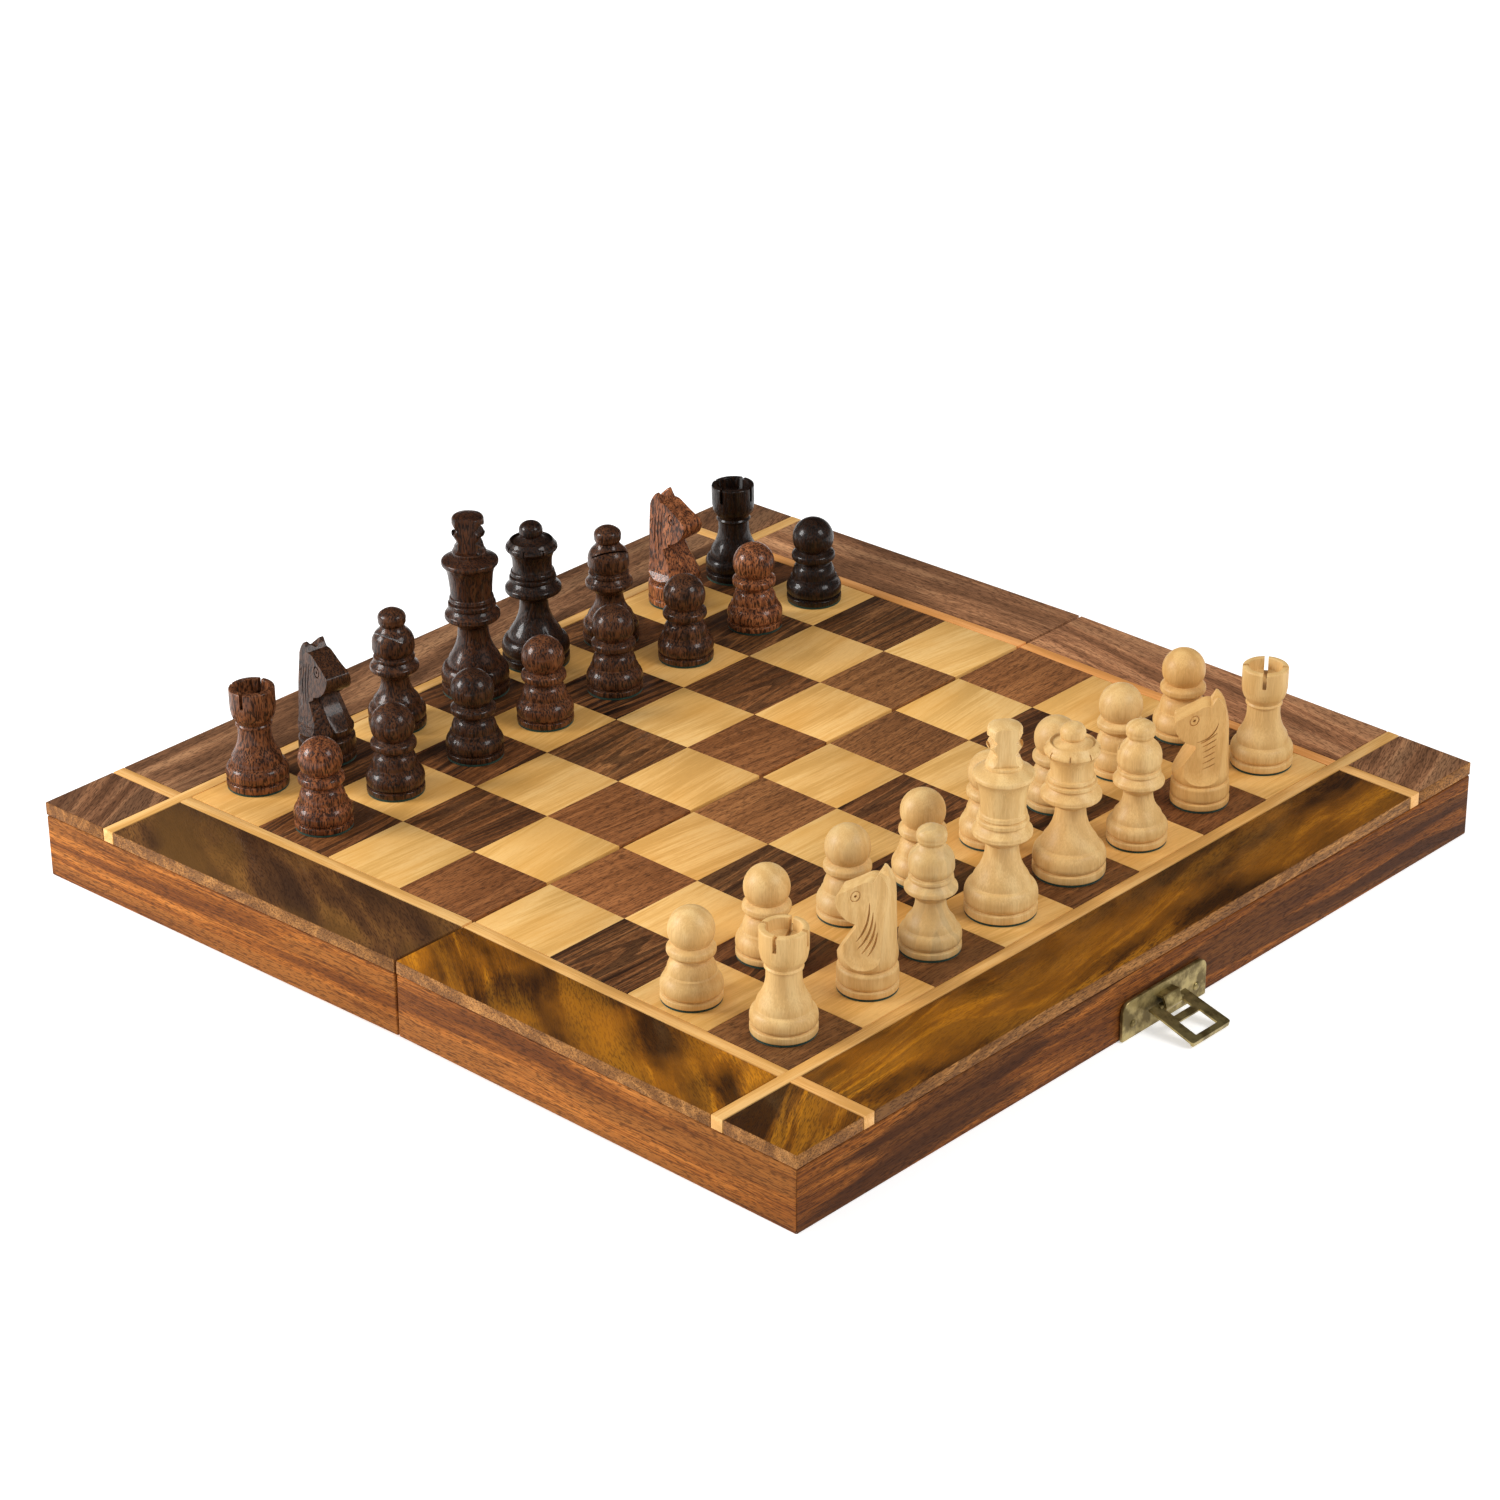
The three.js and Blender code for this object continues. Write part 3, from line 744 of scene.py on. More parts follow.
def makeRails(half, side, rng):
    rail = board["railThickness"]
    height = board["railHeight"]
    far = halfLength - rail
    body = f"{half}_half"

    def railPiece(name, spans, fibres, wood, nodes, cutters=(), mitres=()):
        bm = newShape()
        addSlab(bm, *spans, board["wornEdge"], 3)
        if cutters:
            bm = carved(bm, cutters)
        for sign, away in mitres:
            # keeps what lies on one side of the diagonal through an outer corner
            normal = Vector((sign, -side, 0)).normalized() * away
            corner = Vector((sign * halfLength, side * halfLength, 0)) - normal * board["mitreGap"]
            bmesh.ops.bisect_plane(bm, geom=bm.verts[:] + bm.edges[:] + bm.faces[:], dist=1e-4,
                                   plane_co=corner, plane_no=normal, clear_outer=True)
            bmesh.ops.holes_fill(bm, edges=[edge for edge in bm.edges if edge.is_boundary])
        cutFrom(bm, bm.verts, fibresAlong[fibres], anyStart(rng), wood)
        placed(bm, name, halfPlace(side), body, [railWood], nodes)

    outer = ((-halfLength, halfLength), across(side, far, halfLength), (0, height))
    railPiece(f"{half}_outer_wall", outer, "x", wallLooks["outer"], [f"{half}_outer_rail"],
              mitres=((-1, 1), (1, 1)))
    for hand, sign in (("left", -1), ("right", 1)):
        reach = (sign * far, sign * halfLength)
        span = (reach, across(side, inner, halfLength), (0, height))
        railPiece(f"{half}_{hand}_wall", span, "y", wallLooks[half], [f"{half}_{hand}_rail"],
                  mitres=((sign, -1),))
    reach = far - gap
    notches = []
    for middle in (-hinge["fromMiddle"], hinge["fromMiddle"]):
        notchReach = hinge["length"] / 2 + hinge["leafFit"]
        span = (middle - notchReach, middle + notchReach)
        leafY = across(side, -1, hinge["leafWidth"] + hinge["leafFit"])
        barrelY = across(side, -1, hinge["barrel"] + hinge["barrelFit"])
        notches.append(block(span, leafY, (-1, hinge["mortise"])))
        notches.append(block(span, barrelY, (-1, hinge["barrelMortise"])))
    span = ((-reach, reach), across(side, inner, board["seamRail"]), (0, height))
    railPiece(f"{half}_seam_wall", span, "x", wallLooks["seam"], [f"{half}_seam_rail"], notches)


lining = {"margin": 0.35, "below": 0.9, "above": 0.05, "edge": 0.25}


def makeLining(half, side):
    # felt glued under the squares, where the men lie when the board is folded
    reach = halfLength - board["railThickness"] - lining["margin"]
    start = board["seamRail"] + lining["margin"]
    bm = newShape()
    addSlab(bm, (-reach, reach), across(side, start, reach),
            (board["railHeight"] - lining["below"], topLow - lining["above"]), lining["edge"])
    felt = placed(bm, f"{half}_felt_lining", halfPlace(side), f"{half}_half", [greenFelt])
    cutSize = (reach * 2 * mm, (reach - start) * mm)


for half, side, edge in halves:
    rng = random.Random(11 + side)
    makeSquares(half, side, rng)
    makeInlay(half, side, rng)
    makePlanks(half, side, edge, rng)
    makeRails(half, side, rng)
    makeLining(half, side)
print("board built")


latch = {
    "offset": 2.0,
    "length": 37.5,
    "height": 12.0,
    "thickness": 1.2,
    "corner": 3.0,
    "lift": 0.3,
    "pivotHeight": 6.2,
    "pivotReach": 3.4,
    "tongueWidth": 7.0,
    "tongueWall": 0.8,
    "tongueCrest": 3.4,  # from the bar's middle up to the bend
    "curlStart": 72.0,  # degrees round the bar, from straight above it
    "curlEnd": 292.0,
    "bar": 0.75,
    "barClearance": 0.35,
    "nailSpread": 14.2,
    "nailHeight": 4.6,
    "nail": 1.3,  # radius of a nail's head
    "nailRise": 0.7,
    "eased": 0.25,
    "tongueEased": 0.12,
}
hasp = {
    "length": 15.4,
    "rootWidth": 16.5,
    "tipWidth": 18.5,
    "thickness": 0.7,
    "lip": 1.2,
    "lipThickness": 1.0,
    "lipInset": 1.2,
    "corner": 0.9,
    "cornerInset": 0.6,
    "rest": 1.5,  # from the loop's middle plane down to where its tip rests
    "windowGap": 0.6,
    "firstWindow": 4.6,
    "crossbar": 2.4,
    "secondWidth": 9.6,
    "secondEnd": 13.4,
    "back": 1.3,
    "float": 0.3,
    "eased": 0.2,
}
catch = {
    "length": 22.0,
    "height": 9.5,
    "hookWidth": 6.5,
    "hookReach": 3.6,
    "hookRise": 2.0,
    "hookThickness": 1.2,
    "hookHeight": 2.6,
    "hookRoot": 0.5,
    "nailSpread": 7.6,
    "eased": 0.2,
}
halfRound = math.tan(math.pi / 8)  # the bulge of a quarter circle
haspPivot = Matrix.Translation((latch["offset"], -(halfLength + latch["pivotReach"]), latch["pivotHeight"]))


def nailHead(radius, height):
    return turned([(0, -0.6), (radius * 0.8, -0.6), (radius, 0.0), (radius * 0.92, height * 0.35, 0.2),
                   (0, height, 0.2)], steps=24)


def plateShape(side, length, height):
    # a plate with round upper corners, standing against a wall's outer face
    reach = length / 2
    corner = latch["corner"]
    bm = prism([(-reach, 0), (reach, 0), (reach, height - corner), (reach - corner, height, halfRound),
                (corner - reach, height), (-reach, height - corner, halfRound)], 0, latch["thickness"])
    bmesh.ops.transform(bm, matrix=Matrix.Rotation(-math.pi / 2, 4, "Z"), verts=bm.verts)
    face = halfLength + gap
    shift = face + latch["thickness"] if side > 0 else -face
    return moved(bm, Matrix.Translation((latch["offset"], shift, latch["lift"])))


def addNails(name, side, spread):
    bm = newShape()
    face = side * (halfLength + gap + latch["thickness"])
    turn = Matrix.Rotation(-side * math.pi / 2, 4, "X")
    for hand in (-1, 1):
        place = Matrix.Translation((latch["offset"] + hand * spread, face, latch["nailHeight"]))
        addShape(bm, moved(nailHead(latch["nail"], latch["nailRise"]), place @ turn))
    body = "near_half" if side < 0 else "far_half"
    placed(bm, name, halfPlace(side), body, [agedBrass])


def tongueShape():
    # a strip that leaves the plate, drops in front of the bar and curls back under it
    radius = latch["bar"] + latch["barClearance"] + latch["tongueWall"] / 2
    back = latch["pivotReach"] - latch["thickness"]
    crest = latch["tongueCrest"]
    first, last = [math.radians(latch[end]) for end in ("curlStart", "curlEnd")]
    start, end = [Matrix.Rotation(angle, 2) @ Vector((0, radius)) for angle in (first, last)]
    path = traced([(back + 0.2, crest), (0.1, crest), (-0.5, crest - 0.5, 0.35), (start.x, start.y),
                   (end.x, end.y, math.tan((last - first) / 4))])
    bm = newShape()
    width = latch["tongueWidth"]
    verts = [bm.verts.new((-width / 2, p.x, p.y)) for p in path]
    edges = [bm.edges.new(pair) for pair in zip(verts, verts[1:])]
    drawn = bmesh.ops.extrude_edge_only(bm, edges=edges)["geom"]
    bmesh.ops.translate(bm, verts=[item for item in drawn if isinstance(item, bmesh.types.BMVert)],
                        vec=(width, 0, 0))
    bmesh.ops.recalc_face_normals(bm, faces=bm.faces)
    bmesh.ops.solidify(bm, geom=bm.faces[:], thickness=latch["tongueWall"])
    bmesh.ops.recalc_face_normals(bm, faces=bm.faces)
    return moved(bm, haspPivot)


def makeLatch():
    place = halfPlace(-1)
    plate = placed(plateShape(-1, latch["length"], latch["height"]), "latch_back_plate", place,
                   "near_half", [agedBrass], ["latch_plate"])
    eased(plate, latch["eased"])
    addNails("latch_nails", -1, latch["nailSpread"])
    tongue = placed(tongueShape(), "latch_tongue", place, "near_half", [agedBrass], ["latch_plate"])
    eased(tongue, latch["tongueEased"])


def makeHasp():
    flare = (hasp["tipWidth"] - hasp["rootWidth"]) / 2 / hasp["length"]
    back = hasp["back"]
    root = hasp["rootWidth"] / 2 - flare * back
    tip = hasp["tipWidth"] / 2 - hasp["cornerInset"]
    length = hasp["length"]
    corner = hasp["corner"]
    # drawn with X across and Y outwards, then laid flat
    outline = [(-root, back), (-tip, corner - length), (corner - tip, -length, halfRound),
               (tip - corner, -length), (tip, corner - length, halfRound), (root, back)]
    bm = prism(outline, -hasp["thickness"] / 2, hasp["thickness"] / 2)
    flat = Matrix(((0, 1, 0, 0), (0, 0, 1, 0), (1, 0, 0, 0), (0, 0, 0, 1)))  # YZX becomes XYZ
    moved(bm, flat)
    firstHalf = latch["tongueWidth"] / 2 + hasp["windowGap"]
    secondHalf = hasp["secondWidth"] / 2
    secondStart = hasp["firstWindow"] + hasp["crossbar"]
    through = (-2, 2)
    bm = carved(bm, [
        block((-firstHalf, firstHalf), (-hasp["firstWindow"], back + 1), through),
        block((-secondHalf, secondHalf), (-hasp["secondEnd"], -secondStart), through),
    ])
    lipHalf = hasp["tipWidth"] / 2 - hasp["lipInset"]
    lip = block((-lipHalf, lipHalf), (-length, hasp["lipThickness"] - length), (-hasp["lip"], 0.3))
    barEnd = firstHalf + 1
    bar = turned([(0, -barEnd), (latch["bar"], -barEnd), (latch["bar"], barEnd), (0, barEnd)], steps=24)
    moved(bar, Matrix.Rotation(math.pi / 2, 4, "Y"))
    bm = carved(bm, [lip, bar], "UNION")
    drop = latch["pivotHeight"] - latch["pivotReach"] * math.sin(halfTilt) - hasp["rest"] - hasp["float"]
    lean = math.asin(drop / length) - halfTilt
    place = halfPlace(-1) @ haspPivot @ Matrix.Rotation(lean, 4, "X")
    piece = placed(bm, "hasp_loop", place, "hasp", [agedBrass], ["latch_hasp"])
    eased(piece, hasp["eased"])


def makeCatch():
    back = halfLength + gap + latch["thickness"]
    span = (latch["offset"] - catch["hookWidth"] / 2, latch["offset"] + catch["hookWidth"] / 2)
    foot = catch["hookHeight"]
    thick = catch["hookThickness"]
    start = back - catch["hookRoot"]
    out = back + catch["hookReach"]
    top = foot + thick + catch["hookRise"]
    hook = prism([(start, foot), (out - 0.8, foot), (out, foot + 0.8, 0.4), (out, top),
                  (out - thick, top, 0.5), (out - thick, foot + thick + 0.3),
                  (out - thick - 0.3, foot + thick, -0.4), (start, foot + thick)], *span)
    bm = carved(plateShape(1, catch["length"], catch["height"]), [hook], "UNION")
    piece = placed(bm, "catch_hook_plate", halfPlace(1), "far_half", [agedBrass], ["catch_plate"])
    eased(piece, catch["eased"])
    addNails("catch_nails", 1, catch["nailSpread"])


def screwShape(turn):
    head = hinge["screw"]
    screw = turned([(0, 0.9), (head * 0.5, 0.9), (head * 0.6, 0.4), (head * 0.94, 0.08), (0, 0.05)], steps=24)
    slot = block((-0.25, 0.25), (-head, head), (-1, 0.3), Matrix.Rotation(turn, 4, "Z"))
    return carved(screw, [slot])


def makeHingeLeaf(hand, middle, half, side):
    # the screw heads lie sunk in the leaves, which close face to face when the board is folded
    node = f"{hand}_hinge_{half}_leaf"
    place = halfPlace(side)
    leaf = newShape()
    leaf.from_mesh(frame["nodes"][node].data)
    moved(leaf, place.inverted())
    bmesh.ops.remove_doubles(leaf, verts=leaf.verts, dist=1e-4)
    head = hinge["screw"]
    screws = newShape()
    for k in (-1, 0, 1):
        hole = Matrix.Translation((middle + k * hinge["screwSpread"], side * hinge["screwRow"], 0))
        sink = turned([(0, 0.5), (head * 0.6, 0.5), (head + 0.3, -0.2), (0, -0.2)], steps=24)
        leaf = carved(leaf, [moved(sink, hole)])
        addShape(screws, moved(screwShape(0.6 + k), hole))
    placed(leaf, f"{node}_plate", place, f"{half}_half", [agedBrass], [node])
    placed(screws, f"{hand}_hinge_{half}_screws", place, f"{half}_half", [agedBrass])


makeLatch()
makeHasp()
makeCatch()
for hand, middle in (("left", -hinge["fromMiddle"]), ("right", hinge["fromMiddle"])):
    for half, side, edge in halves:
        makeHingeLeaf(hand, middle, half, side)
    pin = frame["nodes"][f"{hand}_hinge_pin"]
    pin.data.materials.clear()
    pin.data.materials.append(agedBrass)
print("hinges and latch built")


feltTop = 0.3


def footOf(radius, disc, swell, shoulder, step):
    # the disc, its groove and the swelling body that every man stands on
    return [(0, feltTop), (radius - 0.4, feltTop), (radius, feltTop + 0.4, 0.3), (radius, disc - 0.3),
            (radius - 0.3, disc, 0.3), (radius - 0.75, disc + 0.25), (radius, swell, 0.25),
            (shoulder[0], shoulder[1], 0.22), (step[0], step[1], -0.1)]


# Profiles are (radius, height) or (radius, height, bulge), from the foot upwards.
profiles = {
    "king": footOf(10.5, 2.9, 5.6, (9.3, 8.9), (8.5, 9.3)) + [
        (7.8, 11.5, 0.08), (4.75, 20.8, -0.16), (4.8, 21.7), (8.2, 24.3, -0.12), (8.55, 25.4, 0.4),
        (8.3, 26.3, 0.3), (7.1, 27.6, -0.05), (6.9, 28.1), (7.4, 29.0, 0.5), (6.9, 29.9, 0.4), (6.6, 30.1),
        (6.85, 31.0, 0.5), (6.45, 31.9, 0.3), (6.5, 33.0), (6.8, 37.0, -0.02), (7.3, 40.2, -0.05),
        (8.5, 42.2, -0.12), (8.8, 43.0, 0.3), (8.4, 43.9, 0.35), (5.6, 45.2, 0.05), (5.15, 45.5),
        (5.2, 46.8, 0.2), (4.55, 49.3, -0.22), (5.05, 52.2, -0.2), (5.05, 53.2, 0.2), (4.65, 53.8),
        (4.95, 54.6, 0.1), (4.95, 56.9, 0.05), (4.2, 58.2, 0.35), (0, 58.9, 0.08)],
    "queen": footOf(10.6, 2.8, 5.5, (9.4, 8.6), (8.6, 9.1)) + [
        (7.8, 11.1, 0.08), (4.4, 20.4, -0.17), (4.45, 21.3), (8.4, 23.9, -0.12), (8.8, 24.9, 0.4),
        (8.5, 25.9, 0.3), (7.2, 27.3, -0.05), (6.9, 27.8), (7.35, 28.7, 0.5), (6.9, 29.4, 0.4), (6.6, 29.6),
        (6.9, 30.4, 0.5), (6.4, 31.2, 0.3), (6.15, 31.8), (6.2, 34.0), (6.7, 36.3, -0.1), (7.9, 38.1, -0.15),
        (8.1, 38.9, 0.3), (7.6, 39.8, 0.25), (6.7, 41.1, 0.05), (6.4, 41.2, 0.3), (5.9, 40.7), (5.6, 40.8),
        (3.4, 42.2, -0.1), (3.15, 42.4), (3.7, 44.0, 0.25), (3.1, 46.0, 0.22), (0, 46.9, 0.3)],
    "bishop": footOf(8.9, 2.3, 4.4, (8.1, 6.8), (7.4, 7.3)) + [
        (6.9, 9.1, 0.08), (4.3, 15.0, -0.18), (4.35, 15.9), (7.1, 18.5, -0.12), (7.5, 19.4, 0.4),
        (7.1, 20.4, 0.3), (6.2, 21.5, -0.05), (5.9, 21.9), (6.35, 22.6, 0.5), (5.9, 23.3, 0.4), (5.6, 23.6),
        (6.5, 26.9, 0.25), (5.1, 31.0, 0.22), (3.6, 33.0, -0.15), (3.7, 33.3), (4.2, 34.8, 0.3),
        (3.4, 37.3, 0.35), (0, 38.4, 0.2)],
    "rook": footOf(9.4, 2.5, 4.5, (8.5, 7.2), (7.8, 7.7)) + [
        (7.35, 10.0, 0.08), (5.0, 16.4, -0.14), (4.95, 19.4), (5.35, 19.7), (5.4, 20.3, 0.4), (5.15, 20.7),
        (6.2, 22.4, -0.12), (6.7, 24.4, 0.08), (6.85, 25.2), (6.9, 31.2, 0.01), (6.6, 31.8, 0.3),
        (5.3, 31.9), (5.0, 31.6, 0.3), (4.7, 28.4), (0, 27.0)],
    "knight": [(0, feltTop), (8.35, feltTop), (8.75, 0.7, 0.3), (8.75, 2.0), (8.5, 2.3, 0.3), (8.15, 2.55),
               (8.7, 3.8, 0.2), (8.6, 6.4, 0.05), (8.1, 7.5, 0.3), (7.3, 7.9, 0.1), (6.9, 7.6), (0, 7.6)],
    "pawn": footOf(8.75, 2.2, 3.6, (7.9, 7.0), (7.4, 8.2)) + [
        (6.9, 8.6), (6.85, 9.0), (6.35, 11.2, 0.12), (5.3, 12.7, 0.15), (5.2, 13.1), (6.3, 14.0, 0.1),
        (6.9, 15.4, 0.35), (6.4, 16.6, 0.3), (5.35, 17.4, 0.05), (6.6, 21.4, 0.17), (0, 28.0, halfRound)],
}
knightShape = {
    # the side view: Y forwards and Z up
    "outline": [(-8.2, 7.2), (7.2, 7.2), (8.5, 9.6, 0.15), (8.3, 10.8, 0.25), (2.0, 20.6, -0.02),
                (2.3, 21.6, -0.4), (4.6, 22.4, 0.1), (7.6, 25.4, 0.16), (8.2, 28.0, 0.1), (7.4, 29.4, 0.25),
                (0.2, 33.9, -0.02), (-1.4, 34.3, 0.1), (-2.2, 34.3), (-3.6, 36.9, -0.05), (-4.4, 36.7, 0.4),
                (-6.6, 32.6, 0.12), (-7.8, 26.0, 0.06), (-8.1, 16.0)],
    "envelope": [(0, 5), (7.3, 5), (7.3, 7.7), (8.4, 9.8, 0.2), (8.5, 11.2), (8.0, 15.0, -0.06), (7.8, 24.0),
                 (7.6, 31.0), (6.9, 40), (0, 40)],
    # half the width at each height: the sides are pared off with a round sweep at the foot
    "sides": [(8.6, 8.7), (6.1, 14.2, -0.16), (5.0, 24.0), (3.7, 31.0), (3.4, 39.0)],
    "earSpread": 2.7,
    "earDepth": 2.6,
    "eye": (2.6, 29.6),
    "stripHalf": 2.8,  # the flat left down the middle of the chest
}
# Each cut of the gouge: where it starts and ends in the side view, how far it bends, its width.
maneCuts = {
    "long": [((-1.4, 28.4), (1.8, 16.6), 0.2, 0.62), ((-2.6, 26.0), (1.4, 14.4), 0.2, 0.66),
             ((-3.4, 23.4), (0.2, 13.2), 0.18, 0.66), ((-4.1, 20.4), (-1.6, 12.8), 0.14, 0.6)],
    "short": [((-4.5, 29.2), (1.9, 22.6), 0.3, 0.4), ((-4.3, 26.0), (0.9, 22.2), 0.06, 0.36),
              ((-4.0, 24.0), (0.2, 21.2), 0.05, 0.34), ((-3.9, 22.0), (0.0, 19.4), 0.05, 0.34),
              ((-3.8, 20.0), (-0.1, 17.6), 0.05, 0.34), ((-3.7, 18.0), (-0.1, 15.8), 0.05, 0.34),
              ((-3.8, 16.0), (-0.1, 13.9), 0.05, 0.3)],
    "straight": [((-1.5, 31.0), (-0.3, 20.0), 0.05, 0.4), ((-2.7, 31.2), (-1.5, 18.4), 0.05, 0.42),
                 ((-3.9, 30.4), (-2.8, 17.4), 0.05, 0.42), ((-5.0, 28.6), (-4.0, 17.0), 0.05, 0.38)],
}


def sideHalfWidth(height):
    path = traced(knightShape["sides"])
    for low, high in zip(path, path[1:]):
        if low.y <= height <= high.y:
            return low.x + (high.x - low.x) * (height - low.y) / (high.y - low.y)
    return path[-1].x


def sideFrame(hand, start, end):
    # stands halfway along a stretch of a pared side: Z runs along it and X points out of the wood
    first, last = [Vector((hand * sideHalfWidth(z), y, z)) for y, z in (start, end)]
    along = (last - first).normalized()
    outward = Vector((hand, 0, 0)) - along * along.x * hand
    outward.normalize()
    turn = Matrix((outward, along.cross(outward), along)).transposed()
    return Matrix.Translation((first + last) / 2) @ turn.to_4x4(), (last - first).length


def gouge(hand, start, end, bend, width, depth=0.7):
    # a bent almond, which leaves a cut with pointed ends
    place, length = sideFrame(hand, start, end)
    bm = newShape()
    bmesh.ops.create_uvsphere(bm, u_segments=12, v_segments=12, radius=1)
    bmesh.ops.scale(bm, vec=(depth, width / 2, length / 2), verts=bm.verts)
    for vert in bm.verts:
        vert.co.y += hand * bend * (1 - (2 * vert.co.z / length) ** 2) * length / 2
    return moved(bm, place)


def eyeCuts(hand):
    y, z = knightShape["eye"]
    place = sideFrame(hand, (y - 0.6, z + 1), (y + 0.6, z - 1))[0]
    place = place @ Matrix.Rotation(math.pi / 2, 4, "Y") @ Matrix.Diagonal((1.25, 0.85, 1, 1))
    pupil = turned([(0, -0.8), (0.4, -0.8), (0.4, 1.5), (0, 1.5)], steps=16)
    lid = turned([(1.15, -0.3), (1.5, -0.3), (1.5, 1.2), (1.15, 1.2), (1.15, -0.3)], steps=24)
    return [moved(pupil, place), moved(lid, place)]


def chestCut(hand):
    # pares the chest away beside its middle strip, from the throat down
    foot, throat = [Vector((hand * knightShape["stripHalf"], *p[:2])) for p in knightShape["outline"][3:5]]
    along = (foot - throat).normalized()
    sideways = Vector((1, 0, 0))
    turn = Matrix((sideways, sideways.cross(along), along * -1)).transposed()
    place = Matrix.Translation(throat) @ turn.to_4x4() @ Matrix.Rotation(-hand * math.radians(42), 4, "Z")
    return block((0, hand * 12), (0, 12), (-16, 0), place)


def knightHead(style):
    shape = knightShape
    head = prism(shape["outline"], -9.5, 9.5)
    blank = carved(turned(shape["envelope"], steps=72), [block((-9, 9), (0, 10), (20.6, 41))], "UNION")
    head = carved(head, [blank], "INTERSECT")
    upright = Matrix.Rotation(-math.pi / 2, 4, "Z")
    cutters = []
    for hand in (-1, 1):
        side = [(14, 39.5), (14, 8.0), *shape["sides"], (3.4, 39.5)]
        side = [(hand * p[0], p[1], *[hand * b for b in p[2:]]) for p in side]
        cutters.append(moved(prism(side, -12, 12), upright))
    top = 37.6
    spread = shape["earSpread"]
    notch = prism([(-spread, top), (-0.5, top - shape["earDepth"], 0.06), (0.5, top - shape["earDepth"]),
                   (spread, top, 0.06)], -12, -1.2)
    cutters.append(moved(notch, Matrix.Rotation(math.pi / 2, 4, "Z")))
    if style == "straight":
        cutters += [chestCut(hand) for hand in (-1, 1)]
    for hand in (-1, 1):
        cutters += eyeCuts(hand)
        cutters += [gouge(hand, *cut) for cut in maneCuts[style]]
    for cutter in cutters:
        head = carved(head, [cutter])
    return head


# The king's knob is pared flat in front and behind and notched at its sides.
knob = {"faceOff": 3.7, "foot": 46.6, "notch": 2.7, "notchOut": 4.5, "notchHeights": (50.2, 54.2)}
crown = {"nicks": 8, "nickWidth": 0.44, "nickIn": 7.35, "nickSpan": (37.2, 40.0)}
slit = {"width": 0.6, "height": 27.6, "slope": 38, "from": 2.6}
battlement = {"saw": 1.15, "span": (27.0, 34.0)}
clear = 9.0  # past the outside of any man, above its foot


def kingShape():
    flats = [block((-clear, clear), (hand * knob["faceOff"], hand * clear), (knob["foot"], 60))
             for hand in (-1, 1)]
    half = knob["notch"] / 2
    notches = [block((-half, half), (-clear, clear), (-half, half),
                     Matrix.Translation((hand * knob["notchOut"], 0, height))
                     @ Matrix.Rotation(math.pi / 4, 4, "Y"))
               for hand in (-1, 1) for height in knob["notchHeights"]]
    return carved(turned(profiles["king"]), flats + notches)


def queenShape():
    half = crown["nickWidth"] / 2
    turns = [math.tau * (k + 0.5) / crown["nicks"] for k in range(crown["nicks"])]
    nicks = [block((crown["nickIn"], clear), (-half, half), crown["nickSpan"], Matrix.Rotation(turn, 4, "Z"))
             for turn in turns]
    return carved(turned(profiles["queen"]), nicks)


def bishopShape():
    half = slit["width"] / 2
    place = Matrix.Translation((0, 0, slit["height"])) @ Matrix.Rotation(math.radians(slit["slope"]), 4, "X")
    cut = block((-clear, clear), (slit["from"], clear), (-half, half), place)
    return carved(turned(profiles["bishop"]), [cut])


def rookShape():
    reach = (-clear, clear)
    saw = (-battlement["saw"] / 2, battlement["saw"] / 2)
    high = battlement["span"]
    return carved(turned(profiles["rook"]), [block(reach, saw, high), block(saw, reach, high)])


def knightForm(style, height=1.0):
    foot = turned(profiles["knight"])
    head = moved(knightHead(style), Matrix.Diagonal((1, 1, height, 1)))
    return carved(foot, [head], "UNION")


shapes = {
    "king": kingShape(),
    "queen": queenShape(),
    "bishop": bishopShape(),
    "rook": rookShape(),
    "pawn": turned(profiles["pawn"]),
    "knight_long": knightForm("long"),
    "knight_short": knightForm("short", 0.94),
    "knight_straight": knightForm("straight"),
}
footRadius = {"king": 10.5, "queen": 10.6, "bishop": 8.9, "rook": 9.4, "pawn": 8.75, "knight": 8.75}
print("men carved")

# (tone, streaks, warmth) of each man; the rest of the pale men are plain
paleLook = (1.0, 0.0, 0.3)
manLooks = {
    "white_bishop_c": (0.93, 0.35, 0.0),
    "white_pawn_c": (0.98, 0.15, 0.2),
    "white_pawn_f": (0.97, 0.15, 0.3),
    "white_knight_g": (0.97, 0.0, 0.9),
    "white_pawn_h": (0.97, 0.0, 0.8),
    "white_king": (1.04, 0.0, 0.1),
    "white_rook_a": (1.02, 0.0, 0.25),
    "black_rook_a": (1.1, 0.2, 0.4),
    "black_knight_b": (0.5, 0.2, 0.2),
    "black_bishop_c": (0.55, 0.25, 0.3),
    "black_king": (0.38, 0.3, 0.5),
    "black_queen": (0.2, 0.3, 0.3),
    "black_bishop_f": (0.66, 0.3, 0.25),
    "black_knight_g": (1.7, 0.0, 0.5),
    "black_rook_h": (0.12, 0.3, 0.3),
    "black_pawn_a": (1.05, 0.0, 0.6),
    "black_pawn_b": (0.5, 0.2, 0.3),
    "black_pawn_c": (0.36, 0.3, 0.3),
    "black_pawn_d": (0.85, 0.25, 0.4),
    "black_pawn_e": (0.65, 0.3, 0.25),
    "black_pawn_f": (0.85, 0.75, 0.2),
    "black_pawn_g": (1.5, 0.0, 0.45),
    "black_pawn_h": (0.14, 0.2, 0.3),
}
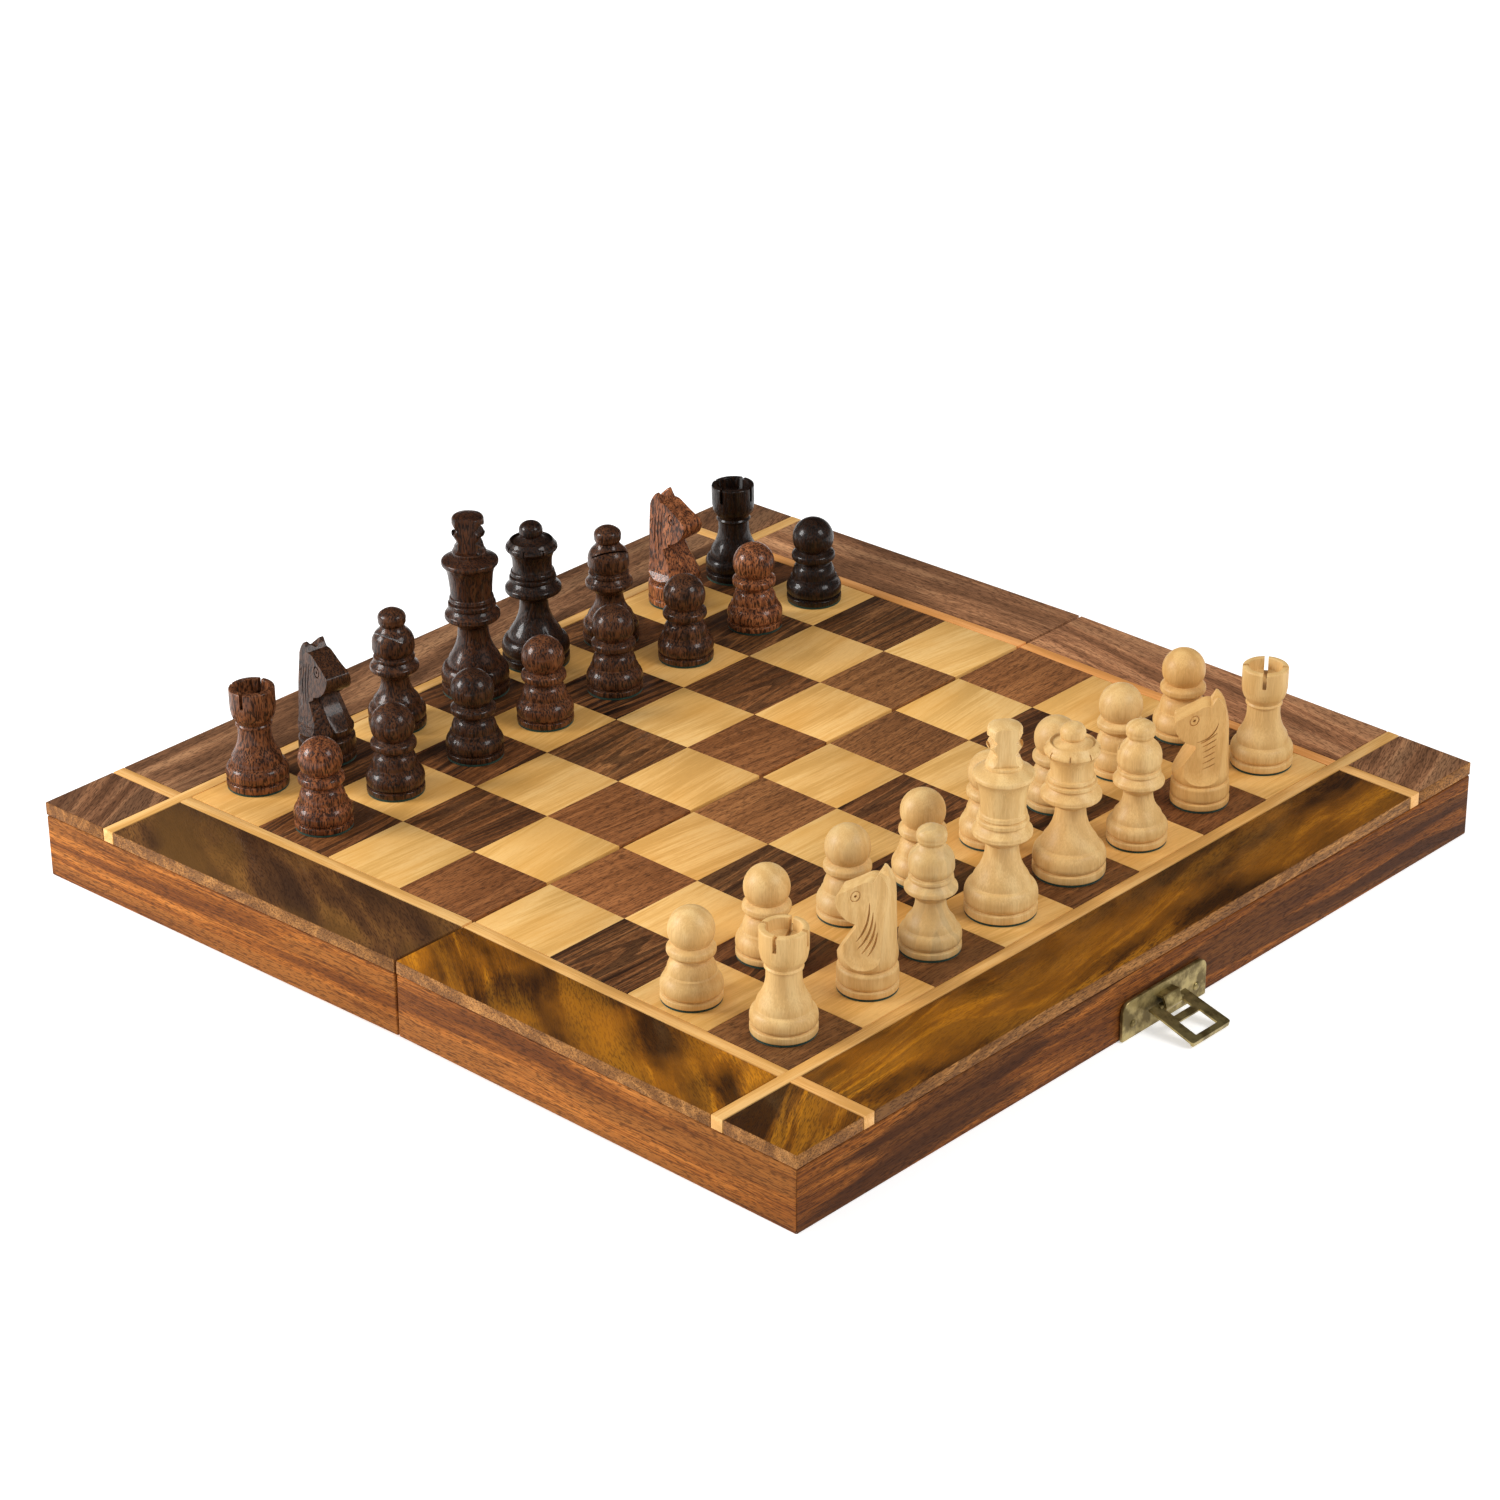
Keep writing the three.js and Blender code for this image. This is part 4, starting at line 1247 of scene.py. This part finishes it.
# degrees about its own axis; any other man is turned at random
manTurns = {
    "white_rook_a": 20, "white_knight_b": 26, "white_knight_g": 40, "white_rook_h": 35,
    "black_rook_a": 20, "black_knight_b": 172, "black_knight_g": 182, "black_rook_h": 10,
    "white_king": -40, "black_king": -55, "white_bishop_c": -50, "white_bishop_f": -20,
    "black_bishop_c": 95, "black_bishop_f": 150, "white_queen": 12, "black_queen": 5,
}
maneStyles = {"white_knight_b": "long", "white_knight_g": "short", "black_knight_b": "straight",
              "black_knight_g": "straight"}


def standing(node, side):
    # the middle of a man's foot, in millimetres in its half's own frame
    back = halfPlace(side).inverted()
    points = [back @ vert.co for vert in frame["nodes"][node].data.vertices]
    floorHeight = min(p.z for p in points)
    foot = [p for p in points if p.z < floorHeight + 0.1]
    middle = [(min(p[axis] for p in foot) + max(p[axis] for p in foot)) / 2 for axis in (0, 1)]
    return Vector((*middle, floorHeight))


def makeMan(node, rng):
    colour, kind = node.split("_")[:2]
    side = -1 if colour == "white" else 1
    form = f"knight_{maneStyles[node]}" if kind == "knight" else kind
    turn = manTurns.get(node, rng.uniform(0, 360))
    place = halfPlace(side) @ Matrix.Translation(standing(node, side))
    place = place @ Matrix.Rotation(math.radians(turn), 4, "Z")
    bm = shapes[form].copy()
    cutFrom(bm, bm.verts, fibresAlong["z"], anyStart(rng), manLooks.get(node, paleLook))
    material = paleManWood if colour == "white" else darkManWood
    slot = "boxwood" if colour == "white" else "dark_stained_wood"
    man = placed(bm, f"{node}_turning", place, node, [material], [node], 32)
    if kind == "knight":
        eased(man, 0.22, 2, 40)
    radius = footRadius[kind] - 0.15
    felt = turned([(0, -0.28), (radius - 0.1, -0.28), (radius, -0.1, 0.3), (radius, 0.2),
                   (radius - 0.1, 0.32, 0.3), (0, 0.32)], steps=40)
    placed(felt, f"{node}_felt", place, node, [greenFelt])


rng = random.Random(7)
for node in sorted(frame["nodes"]):
    if node.split("_")[0] in ("white", "black"):
        makeMan(node, rng)
for form in shapes.values():
    form.free()
print("men placed")

studio = {
    "camera": (-0.92218, -0.85037, 0.66740),
    "heading": 0.81951,
    "dip": 0.46558,
    "roll": -0.01294,
    "lens": 113.99,
    "sensor": 36.0,
    "ambient": 0.5,
    "glossy": 0.04,
    "backdrop": 1.0,
    "tableGlow": 0.5,
    "boxSize": 0.5,
    "aimHeight": 0.02,
}


def makeStage():
    bm = bmesh.new()
    bmesh.ops.create_grid(bm, x_segments=1, y_segments=1, size=3.0)
    floor = looseObject(bm, "floor")
    r = Recipe("paleFloor")
    floor.data.materials.append(r.surface({
        "Base Color": (0.85, 0.85, 0.85, 1.0),
        "Roughness": 0.9,
        "Emission Color": (1.0, 1.0, 1.0, 1.0),
        "Emission Strength": studio["tableGlow"],
    }))


def makeWorld():
    world = bpy.data.worlds.new("studio")
    bpy.context.scene.world = world
    world.use_nodes = True
    tree = world.node_tree
    tree.nodes.clear()
    rays = tree.nodes.new("ShaderNodeLightPath").outputs
    strength = studio["ambient"]
    for ray, target in (("Is Glossy Ray", studio["glossy"]), ("Is Camera Ray", studio["backdrop"])):
        chosen = tree.nodes.new("ShaderNodeMix")
        tree.links.new(rays[ray], chosen.inputs["Factor"])
        if isinstance(strength, float):
            chosen.inputs["A"].default_value = strength
        else:
            tree.links.new(strength, chosen.inputs["A"])
        chosen.inputs["B"].default_value = target
        strength = chosen.outputs["Result"]
    background = tree.nodes.new("ShaderNodeBackground")
    background.inputs["Color"].default_value = (1.0, 1.0, 1.0, 1.0)
    tree.links.new(strength, background.inputs["Strength"])
    output = tree.nodes.new("ShaderNodeOutputWorld")
    tree.links.new(background.outputs["Background"], output.inputs["Surface"])


# Two square softboxes, each with its place and its power, turned to the board's middle.
lamps = {"leftBox": ((-0.86, 0.8, 0.58), 16), "rightBox": ((0.25, -0.98, 0.86), 7)}


def makeSoftbox(name):
    place, power = lamps[name]
    data = bpy.data.lights.new(name, "AREA")
    data.shape = "RECTANGLE"
    data.size = studio["boxSize"]
    data.size_y = studio["boxSize"]
    data.energy = power
    lamp = bpy.data.objects.new(name, data)
    lamp.location = place
    way = Vector((0, 0, studio["aimHeight"])) - Vector(place)
    lamp.rotation_euler = way.to_track_quat("-Z", "Y").to_euler()
    bpy.context.scene.collection.objects.link(lamp)


def makeCamera():
    data = bpy.data.cameras.new("camera")
    data.lens = studio["lens"]
    data.sensor_width = studio["sensor"]
    data.clip_start = 0.01
    camera = bpy.data.objects.new("camera", data)
    turn = Matrix.Rotation(-studio["heading"], 4, "Z") @ Matrix.Rotation(math.pi / 2 - studio["dip"], 4, "X")
    turn = turn @ Matrix.Rotation(studio["roll"], 4, "Z")
    camera.matrix_world = Matrix.Translation(studio["camera"]) @ turn
    bpy.context.scene.collection.objects.link(camera)
    bpy.context.scene.camera = camera


makeStage()
makeWorld()
for name in lamps:
    makeSoftbox(name)
makeCamera()
bpy.context.scene.view_settings.view_transform = "Standard"
print("stage set")
